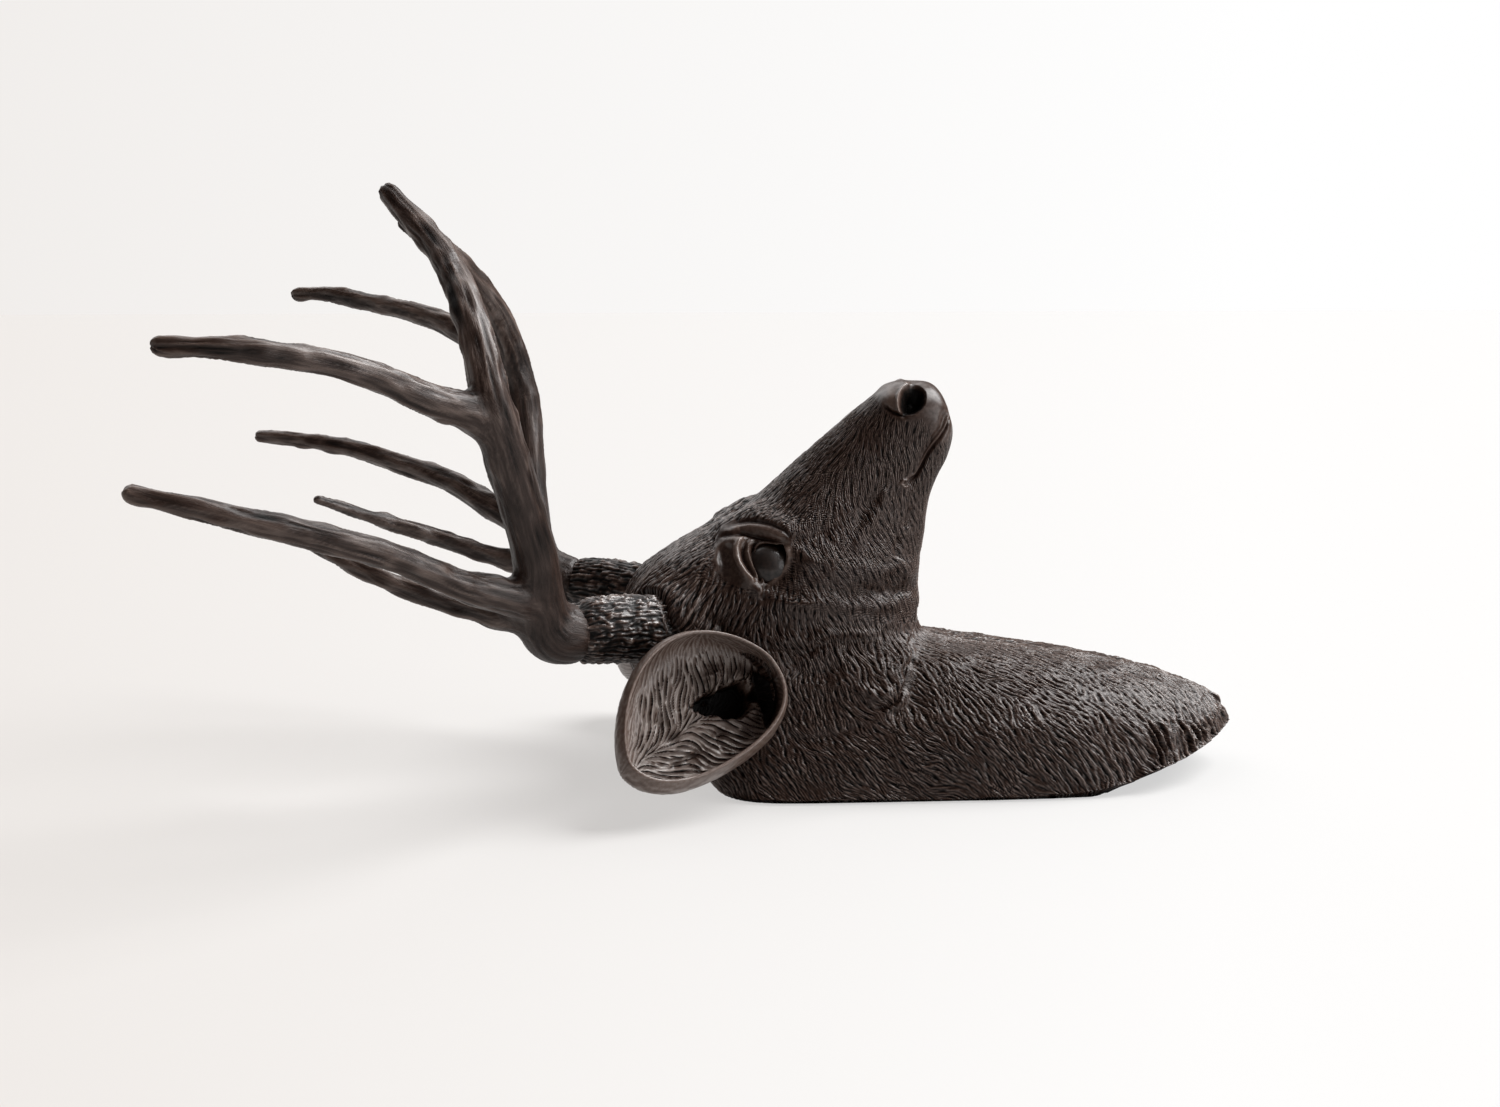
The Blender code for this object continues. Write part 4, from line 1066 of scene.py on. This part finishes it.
inner_angles = EAR_CURL * np.linspace(EAR_FIRST_ROW, 1, EAR_INNER_ROWS) ** EAR_ROW_SPREAD
rim_turn = np.linspace(0, np.pi, EAR_RIM_ROWS + 2)[1:-1]
rim_angles = EAR_CURL + 0.5 * EAR_LIP / (0.5 * EAR_WIDTH) * np.sin(rim_turn)
outer_angles = np.linspace(EAR_CURL, EAR_LAST_ROW, EAR_OUTER_ROWS)
ear_angles = np.concatenate([inner_angles, rim_angles, outer_angles])[:, None] * np.ones(EAR_COLUMNS)
rim_inset = EAR_LIP * 0.5 * (1 + np.cos(rim_turn))
inner_inset = EAR_LIP + (EAR_WALL - EAR_LIP) * ramp(EAR_CURL, EAR_WALL_ENDS, inner_angles)
inner_inset = inner_inset + EAR_FLOOR * ramp(*EAR_FLOOR_ENDS, inner_angles)
insets = np.concatenate([inner_inset, rim_inset, np.zeros(EAR_OUTER_ROWS)])[:, None] * np.ones(EAR_COLUMNS)
ear_turn = np.ones((len(insets), 1)) * np.linspace(0, 2 * np.pi, EAR_COLUMNS, endpoint=False)
ear = ear_bowl(ear_turn, ear_angles, insets)


def wrapped_outward(grid):
    """Unit normals of a grid whose last column meets its first."""
    wide = np.concatenate([grid[:, -2:], grid, grid[:, :2]], axis=1)
    return outward(wide)[:, 2:-2]


inside = (np.arange(len(insets))[:, None] < EAR_INNER_ROWS) * np.ones(EAR_COLUMNS)
from_root = ear - EAR_ROOT
ear_along, ear_side = from_root @ ear_length, from_root @ ear_across
deep = ramp(*EAR_FORMS_END, ear_angles)
forms = hills(ear_along, ear_side, EAR_FORMS.values())
points, breadth, rise = EAR_VALLEY
to_valley, _ = distance_to_line(ear_along, ear_side, points)
forms += rise * np.exp(-((to_valley / breadth) ** 2))
hole = outline_share(ear_along, ear_side, EAR_HOLE_MIDDLE, EAR_HOLE)
hole = ramp(*EAR_HOLE_EDGE, hole + EAR_HOLE_RAGGED[0] * drift(ear, EAR_HOLE_RAGGED[1], 7)) * deep
dark = ramp(*EAR_DARK_EDGE, outline_share(ear_along, ear_side, EAR_DARK_MIDDLE, EAR_DARK))
dark = dark * ramp(*EAR_DARK_ENDS, ear_angles)
ear_out = -wrapped_outward(ear)
ear = ear + (forms * deep * inside * (1 - hole) - EAR_HOLE_DEPTH * hole)[..., None] * ear_facing
ear = ear - (EAR_DARK_DEPTH * dark * inside * (1 - hole))[..., None] * ear_out

valley = np.array(EAR_VALLEY[0][::-1])
to_valley = ear_side - np.interp(ear_along, valley[:, 0], valley[:, 1])
sweep = EAR_SWEEP * ear_length - np.tanh(to_valley / VALLEY_BREADTH)[..., None] * ear_across
behind = ear_length - EAR_BACK_SWEEP * ear_across * np.sin(ear_turn)[..., None]
sweep = sweep * inside[..., None] + behind * (1 - inside[..., None])
sway = sum(by * drift(ear, size, kind) for kind, (by, size) in enumerate(EAR_SWAYS, 8))
ear_out = -wrapped_outward(ear)
sweep = unit(sweep - ear_out * (sweep * ear_out).sum(axis=-1)[..., None])
sweep = unit(sweep + sway[..., None] * np.cross(ear_out, sweep))
along = grid_ways(ear, sweep, closed=True)
across = grid_ways(ear, np.cross(ear_out, sweep), closed=True)
hair = strands(drift(ear, EAR_HAIR[1], 10), along, across, EAR_HAIR[0], EAR_HAIR[1], closed=True)
fine_hair = strands(drift(ear, EAR_FINE[1], 11), along, across, EAR_FINE[0], EAR_FINE[1], closed=True)
starts = EAR_HAIR_STARTS[0] + EAR_HAIR_STARTS[1] * np.sin(ear_turn)
starts = starts - EAR_HAIR_RAGGED[0] * drift(ear, EAR_HAIR_RAGGED[1], 12)
hairy = inside * ramp(*EAR_HAIR_EDGE, ear_angles - starts) * (1 - dark)
gap = ramp(*EAR_GAP, hair)
off_rim = ramp(0.0, EAR_RIM_CALM[1], np.abs(ear_angles - EAR_CURL))
fine_hair = np.tanh(fine_hair) * (EAR_RIM_CALM[0] + (1 - EAR_RIM_CALM[0]) * off_rim)
ear_height = (0.25 * np.tanh(hair) - gap) * EAR_HAIR[2] * hairy * (1 - hole) + fine_hair * EAR_FINE[2] / 2
ear_height += hills(ear_along, ear_side, [EAR_BUMPS]) * inside * drift(ear, EAR_BUMP_SIZE, 13)
ear = ear - wrapped_outward(ear) * ear_height[..., None]
# Painted light in the ear: crests of hair and strokes painted lighter, gaps painted darker
bare, stroke, hair_painted_highlight, hair_stroke, hair_gap_painted_shade = EAR_CREST
in_hair = hair_painted_highlight * ramp(*HAIR_PAINTED_LIGHT, ear_angles) + hair_stroke * fine_hair - hair_gap_painted_shade * gap
ear_tone_and_painted_light = np.clip(bare + stroke * fine_hair + in_hair * hairy, 0, EAR_CREST_MOST)
# Painted shade in the hole and on the shaded wall at the root
ear_tone_and_painted_light = ear_tone_and_painted_light * (1 - EAR_HOLE_PAINTED_SHADE * hole) * (1 - EAR_WALL_PAINTED_SHADE * dark)
ear_normal = -wrapped_outward(ear)
for side, hand, step in ((1, "right", 1), (-1, "left", 2)):
    flip = np.array([1, side, 1])
    points, normal, value = [field[::step, ::step] for field in (ear, ear_normal, ear_tone_and_painted_light)]
    made = add_piece(f"ear_{hand}", (points * flip).reshape(-1, 3),
                     grid_faces(*points.shape[:2], closed=True, inside_out=side > 0), black_resin,
                     (normal * flip).reshape(-1, 3), {"crest": value})
    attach(made, "root")
    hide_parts("head_and_neck")

# Antlers: each one resin casting, glued into the head's collar of fur. The base is pearled and glossy, the
# elbow smooth, and beam and tines are grained lengthways to their tips.
# Beam points (x, y outwards, z), with the radius as shares of the base's and the beam's
BASE_RADIUS, BEAM_RADIUS, TINE_RADIUS = 17.5, 11.2, 8.0
SEATED = [
    (-154, 35, 79.5, 1.0, 0.0),
    (-165, 40.8, 81, 1.0, 0.0),
    (-176, 46.5, 82.5, 1.0, 0.0),
    (-190.5, 55, 84, 0.97, 0.0),
]
BEAMS = {
    "right": [
        (-203, 60.5, 83.5, 0.8, 0.0), (-209, 64.5, 84.5, 0.42, 0.775), (-216.5, 69, 88, 0.0, 1.43),
        (-221, 75, 99, 0.0, 1.23), (-223, 86, 127, 0.0, 1.03), (-229, 97, 155, 0.0, 1.0),
        (-235.5, 109, 182, 0.0, 1.0), (-241, 113, 208, 0.0, 0.86), (-250, 97, 240, 0.0, 0.73),
        (-264, 66, 266, 0.0, 0.64), (-286, 39, 290, 0.0, 0.55), (-295, 33, 299.5, 0.0, 0.5),
    ],
    "left": [
        (-205, 59.5, 85, 0.78, 0.0), (-211, 61.8, 86.5, 0.42, 0.72), (-219, 64, 90.5, 0.0, 1.3),
        (-227, 70, 99, 0.0, 1.1), (-231, 81, 120, 0.0, 0.94), (-233, 96, 148, 0.0, 0.9),
        (-236, 111, 180, 0.0, 0.9), (-241, 111, 205, 0.0, 0.82), (-248, 95, 228, 0.0, 0.72),
        (-260, 67, 251, 0.0, 0.64), (-283, 39, 276, 0.0, 0.56), (-295, 31, 283, 0.0, 0.48),
    ],
}
BROW_TINE = [
    (-211, 66, 87, 1.5), (-228, 74, 92.5, 1.12), (-252, 78, 99, 0.8), (-284, 78, 110, 0.66),
    (-314, 68, 122, 0.56), (-346, 51, 136, 0.42),
]
TINES = {
    "right": [
        BROW_TINE,
        [
            (-223, 79, 102, 1.35), (-238, 93, 109, 1.14), (-258, 105, 117, 0.98), (-286, 122, 133, 0.88),
            (-318, 137, 145, 0.88), (-358, 148, 157, 0.76), (-398, 151, 168, 0.56),
        ],
        [
            (-236, 109, 184, 1.22), (-248, 118, 197, 1.2), (-268, 133, 206, 0.98), (-298, 153, 221, 0.82),
            (-336, 173, 230, 0.74), (-377, 182, 233, 0.56),
        ],
    ],
    "left": [
        BROW_TINE,
        [
            (-229, 76, 109, 1.02), (-240, 88, 117, 1.06), (-257.5, 98, 126, 0.94), (-277, 110, 136, 0.84),
            (-301, 122, 143, 0.8), (-341, 140, 153, 0.7), (-393, 150, 159, 0.54),
        ],
        [
            (-237.5, 111, 190, 1.04), (-249, 120, 207, 1.12), (-276, 140, 221, 0.92),
            (-301, 155, 229, 0.8), (-349, 175, 238, 0.66), (-374, 180, 238, 0.5),
        ],
    ],
}
BRANCH_STEP = 1.6
TIP_RINGS = 9
TUBE_SIDES = 48
POINTS_AT_ONCE = 4000
VOXELS = {"right": 0.00098, "left": 0.0014}
SMOOTHINGS = 8
FORK_SMOOTHINGS = {"right": 80, "left": 40}
FORK_STARTS = (0.04, 0.3)  # share of the other branches over which a place counts as in a fork
# How fast a branch's weight falls with the distance in radii, and the least radius for that and the grain
BRANCH_FADE, LEAST_RADIUS = 6, 4.0
GRAIN_RELIEF = 1.0
KNOB_RELIEF = 0.9
# Breadth and length of the grain's ridges, of its fine lines and of the knobs, and the share of the first two
RIDGES, LINES, KNOBS = (2.7, 2.7, 24.0), (1.5, 1.5, 13.0), (4.0, 4.0, 9.0)
GRAIN_SHARES = (0.6, 0.4)
RIDGE_SHARPNESS = 1.6
# Share of the grain at the start of the beam and of a tine, and the millimetres over which the rest comes
BEAM_GRAIN, TINE_GRAIN = (0.5, 60, 160), (0.6, 0, 40)
LENGTHWAYS = 0.1  # share of the way along a branch by which the fine noise is drawn out
GRAIN_CREST = (0.3, 0.5, 0.9)  # middle value, change with the grain, and the most
SLEEVE_END = (0.55, 15.8, 12.0)  # share of the way to the beam's second point, and the last two radii
BASE_GRIDS = {"right": (80, 190), "left": (58, 140)}
BASE_GIRTH = 2 * np.pi * 17.0
PEARL = (5.5, 2.5, 1.9)  # length, breadth and relief of the pearls on the base
PEARL_LEVEL = 0.75  # value of the pearls that keeps its place, and lower ones sink
# The pearls painted lighter on their tops as painted highlight, and the grooves between them near black as
# painted shade
PEARL_PAINTED_LIGHT = (1.15, -0.1)  # change of the crest value with the pearls, and what it starts from
# How far the rows of pearls wander round the base and along it, and over how many millimetres
PEARL_WANDERS, PEARL_DRIFT = ((1.1, 6.0), (0.5, 2.6)), (1.5, 4.0)
PEARL_UNEVEN, PEARL_PITS = (0.8, 0.6, 2.4), (0.12, 0.9)  # mean, change and size; relief share and size
# How far a pearl's root and middle shift, how long it is in rows, how wide, and its least strength
ROOT_SHIFT, MIDDLE_SHIFT, PEARL_REACH, PEARL_WIDTH, LEAST_PEARL = 0.85, 0.5, 1.65, 0.78, 0.72


def pearl_rows(run, share, kind):
    """Overlapping pearls round the base, of which the highest counts everywhere.

    Each is a lens that rises from its root to its tip. run is the way along the base, and share the way
    round it from 0 to 1.
    """
    length, breadth = PEARL[:2]
    best = np.zeros(run.shape)
    home = np.floor(run / length)
    count = np.round(BASE_GIRTH / breadth)
    column_home = np.floor(share * count)
    for row_step in (0, -1, -2):
        row = home + row_step
        for column_step in (-1, 0, 1):
            column = column_home + column_step
            seed = np.mod(column, count)
            root = (row + ROOT_SHIFT * hashed(row, seed, 1, kind)) * length
            middle = (column + 0.5 + MIDDLE_SHIFT * (hashed(row, seed, 2, kind) - 0.5)) / count
            grown = np.clip((run - root) / (PEARL_REACH * length), 0, 1)
            wide = breadth * PEARL_WIDTH * np.sqrt(1 - grown) * np.clip(grown * 5, 0, 1) ** 0.5 + 1e-6
            across = (share - middle) * BASE_GIRTH / wide
            strength = LEAST_PEARL + (1 - LEAST_PEARL) * hashed(row, seed, 3, kind)
            crown = (0.5 + 0.5 * grown) * strength * (1 - across**2)
            best = np.maximum(best, np.where((grown > 0) & (grown < 1), crown, 0))
    return best


def branch(rows, tip=True):
    """Points, radii, way along and both directions across for a branch, in a frame that doesn't twist.

    The radius closes as a circle does over the last of the way where the branch ends in a tip.
    """
    fine = smooth(rows, np.linspace(0, len(rows) - 1, 2000))
    run = np.concatenate([[0], np.cumsum(np.linalg.norm(np.diff(fine[:, :3], axis=0), axis=1))])
    end = fine[-1, 3]
    ways = np.arange(0, run[-1], BRANCH_STEP)
    if tip:
        closing = 1 - np.sin(np.linspace(0, np.pi / 2, TIP_RINGS))
        ways = np.concatenate([ways[ways < run[-1] - end], run[-1] - end * closing])
    fine = np.stack([np.interp(ways, run, fine[:, index]) for index in range(4)], axis=1)
    radii = fine[:, 3].copy()
    if tip:
        past = np.clip((ways - (run[-1] - end)) / end, 0, 1)
        radii = radii * np.sqrt(np.maximum(1 - past**2, 1e-4))
    points = fine[:, :3]
    tangents = np.gradient(points, ways, axis=0)
    tangents /= np.linalg.norm(tangents, axis=1)[:, None]
    across = np.cross(tangents[0], (0.0, 0.0, 1.0))
    frames = []
    for ahead in tangents:
        across = across - ahead * (across @ ahead)
        across /= np.linalg.norm(across)
        frames.append(across)
    across = np.array(frames)
    other = np.cross(tangents, across)
    return {"points": points, "radii": radii, "run": ways, "across": across, "other": other}


def rings_round(made, angle):
    """Points of the unit circle in the frame of every place on a branch."""
    return np.cos(angle)[:, None] * made["across"][:, None] + np.sin(angle)[:, None] * made["other"][:, None]


def tube(made, sides=TUBE_SIDES):
    """A closed tube round a branch: circles of its radii in its own frames, each end closed by a fan."""
    angle = np.arange(sides) * 2 * np.pi / sides
    rings = made["points"][:, None] + rings_round(made, angle) * made["radii"][:, None, None]
    rows = len(rings)
    points = np.concatenate([rings.reshape(-1, 3), made["points"][[0, -1]]])
    faces = grid_faces(rows, sides, closed=True, inside_out=True)
    ring = np.arange(sides)
    after = (ring + 1) % sides
    start = np.stack([after, ring, np.full(sides, rows * sides)], axis=-1)
    last = (rows - 1) * sides
    end = np.stack([last + ring, last + after, np.full(sides, rows * sides + 1)], axis=-1)
    return points, [*faces.tolist(), *start.tolist(), *end.tolist()]


def joined_by_voxels(name, branches, voxel):
    """The branches' tubes as one skin: all tubes in one mesh, rebuilt on small cubes and smoothed."""
    points, faces, count = [], [], 0
    for made in branches:
        more, sides = tube(made)
        points.append(more)
        faces += [[corner + count for corner in side] for side in sides]
        count += len(more)
    rough = bpy.data.meshes.new(name)
    rough.from_pydata((np.concatenate(points) * MILLIMETRE).tolist(), [], faces)
    holder = bpy.data.objects.new(name, rough)
    bpy.context.scene.collection.objects.link(holder)
    cubes = holder.modifiers.new("cubes", "REMESH")
    cubes.mode = "VOXEL"
    cubes.voxel_size = voxel
    soft = holder.modifiers.new("soft", "SMOOTH")
    soft.factor = 0.5
    soft.iterations = SMOOTHINGS
    result = holder.evaluated_get(bpy.context.evaluated_depsgraph_get()).to_mesh()
    points = np.empty(len(result.vertices) * 3, np.float32)
    result.vertices.foreach_get("co", points)
    normals = np.empty(len(result.vertices) * 3, np.float32)
    result.vertices.foreach_get("normal", normals)
    corners = np.empty(len(result.loops), np.int32)
    result.loops.foreach_get("vertex_index", corners)
    holder.to_mesh_clear()
    bpy.data.objects.remove(holder)
    return points.reshape(-1, 3) / MILLIMETRE, normals.reshape(-1, 3), corners.reshape(-1, 4)


def nearest_grain(points, branches):
    """For every point its place in each branch's own straightened frame, and that branch's weight there."""
    places, weights = [], []
    for made in branches:
        best = np.full(len(points), np.inf)
        index = np.zeros(len(points), int)
        for low in range(0, len(points), POINTS_AT_ONCE):
            block = slice(low, low + POINTS_AT_ONCE)
            away = ((points[block, None] - made["points"][None]) ** 2).sum(axis=-1)
            index[block] = away.argmin(axis=1)
            best[block] = np.sqrt(away.min(axis=1))
        out = points - made["points"][index]
        side, other = (out * made["across"][index]).sum(axis=1), (out * made["other"][index]).sum(axis=1)
        away = np.hypot(side, other) + 1e-6
        radius = np.maximum(made["radii"][index], LEAST_RADIUS)
        ahead = np.cross(made["across"][index], made["other"][index])
        run = made["run"][index] + (out * ahead).sum(axis=1)
        places.append(np.stack([side / away * radius, other / away * radius, run], axis=-1))
        weights.append(np.exp(-BRANCH_FADE * np.maximum(best / radius - 1, 0)))
    weights = np.array(weights)
    return places, weights / weights.sum(axis=0)


def filled_forks(points, corners, weights, times):
    """Points and normals of the skin, evened out where branches meet, so that every fork is filled."""
    share = 0.5 * ramp(*FORK_STARTS, 1 - weights.max(axis=0))[:, None]
    here, after = corners.ravel(), np.roll(corners, -1, axis=1).ravel()
    ends, others = np.concatenate([here, after]), np.concatenate([after, here])
    met = np.bincount(ends, minlength=len(points))[:, None]
    for _ in range(times):
        around = np.stack([np.bincount(ends, points[others, axis], len(points)) for axis in range(3)], axis=1)
        points = points + share * (around / met - points)
    lower, right, upper, left = [points[corner] for corner in corners.T]
    facing = np.repeat(np.cross(upper - lower, left - right), 4, axis=0)
    normals = np.stack([np.bincount(here, facing[:, axis], len(points)) for axis in range(3)], axis=1)
    return points, normals / (np.linalg.norm(normals, axis=1)[:, None] + 1e-12)


antler_resin = resin("black_antler_resin", cast_look, coat=0.65, coat_roughness=0.36, specular=0.12, bump=1.0,
                     grained=True)
pearl_resin = resin("pearled_resin", cast_look, coat=0.9, coat_roughness=0.16, specular=0.12, bump=0.1)

for side, hand in ((-1, "right"), (1, "left")):
    flip = np.array([1, side, 1, 1])
    beam_rows = np.array(BEAMS[hand], float)
    beam_radii = beam_rows[:, 3] * BASE_RADIUS + beam_rows[:, 4] * BEAM_RADIUS
    beam_rows = np.column_stack([beam_rows[:, :3], beam_radii])
    branches = [branch(beam_rows * flip)]
    for rows in TINES[hand]:
        rows = np.array(rows, float)
        rows[:, 3] *= TINE_RADIUS
        branches.append(branch(rows * flip))
    points, normals, faces = joined_by_voxels(f"antler_{hand}", branches, VOXELS[hand])
    _, weights = nearest_grain(points, branches)
    points, normals = filled_forks(points, faces, weights, FORK_SMOOTHINGS[hand])
    places, weights = nearest_grain(points, branches)
    grain = np.zeros(len(points))
    knobs = np.zeros(len(points))
    for number, (place, weight) in enumerate(zip(places, weights)):
        least, starts, full = TINE_GRAIN if number else BEAM_GRAIN
        rough = least + (1 - least) * ramp(starts, full, place[:, 2])
        ridged, lines = [1 - RIDGE_SHARPNESS * np.abs(drift(place / sizes, 1.0, kind + number))
                         for sizes, kind in ((RIDGES, 20), (LINES, 30))]
        grain += weight * (GRAIN_SHARES[0] * ridged + GRAIN_SHARES[1] * lines) * rough
        knobs += weight * drift(place / KNOBS, 1.0, 40 + number) * rough**2
    points = points + normals * (grain * GRAIN_RELIEF + knobs * KNOB_RELIEF - GRAIN_RELIEF)[:, None]
    along_grain = (np.array(places) * weights[..., None]).sum(axis=0) * (1.0, 1.0, LENGTHWAYS)
    level, change, most = GRAIN_CREST
    made = add_piece(f"antler_{hand}_beam", points, faces, antler_resin, None,
                     {"crest": np.clip(level + change * grain, 0, most), "grain": along_grain})
    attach(made, "root")
    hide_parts(f"antler_{hand}")

    base = np.array(SEATED, float)
    base = np.column_stack([base[:, :3], base[:, 3] * BASE_RADIUS]) * flip
    last = beam_rows[1] * flip
    share, *end_radii = SLEEVE_END
    middle = (1 - share) * base[-1, :3] + share * last[:3]
    base = np.concatenate([base, [[*middle, end_radii[0]], [*last[:3], end_radii[1]]]])
    sleeve = branch(base, tip=False)
    base_rows, base_columns = BASE_GRIDS[hand]
    ways = np.linspace(0, sleeve["run"][-1], base_rows)
    lined = {key: np.stack([np.interp(ways, sleeve["run"], column) for column in value.T], axis=1)
             for key, value in sleeve.items() if value.ndim == 2}
    radius = np.interp(ways, sleeve["run"], sleeve["radii"])
    angle = np.arange(base_columns) * 2 * np.pi / base_columns
    circle = rings_round(lined, angle)
    bare = lined["points"][:, None] + circle * radius[:, None, None]
    way = ways[:, None] * np.ones(base_columns)
    wander = sum(by * drift(bare, size, kind) for kind, (by, size) in enumerate(PEARL_WANDERS, 50))
    share = np.ones((base_rows, 1)) * angle / (2 * np.pi) + wander / BASE_GIRTH
    pearls = pearl_rows(way + PEARL_DRIFT[0] * drift(bare, PEARL_DRIFT[1], 52), share, 53)
    uneven = PEARL_UNEVEN[0] + PEARL_UNEVEN[1] * drift(bare, PEARL_UNEVEN[2], 54)
    pearls = np.clip(pearls * uneven + PEARL_PITS[0] * drift(bare, PEARL_PITS[1], 55), 0, 1)
    pearled = bare + circle * ((pearls - PEARL_LEVEL) * PEARL[2])[..., None]
    # The base's pearls painted lighter and the grooves between them darker: painted highlight and painted
    # shade
    made = add_piece(f"antler_{hand}_base", pearled.reshape(-1, 3),
                     grid_faces(base_rows, base_columns, closed=True, inside_out=True), pearl_resin,
                     None, {"crest": PEARL_PAINTED_LIGHT[0] * pearls + PEARL_PAINTED_LIGHT[1]})
    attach(made, "root")
    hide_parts(f"antler_{hand}")
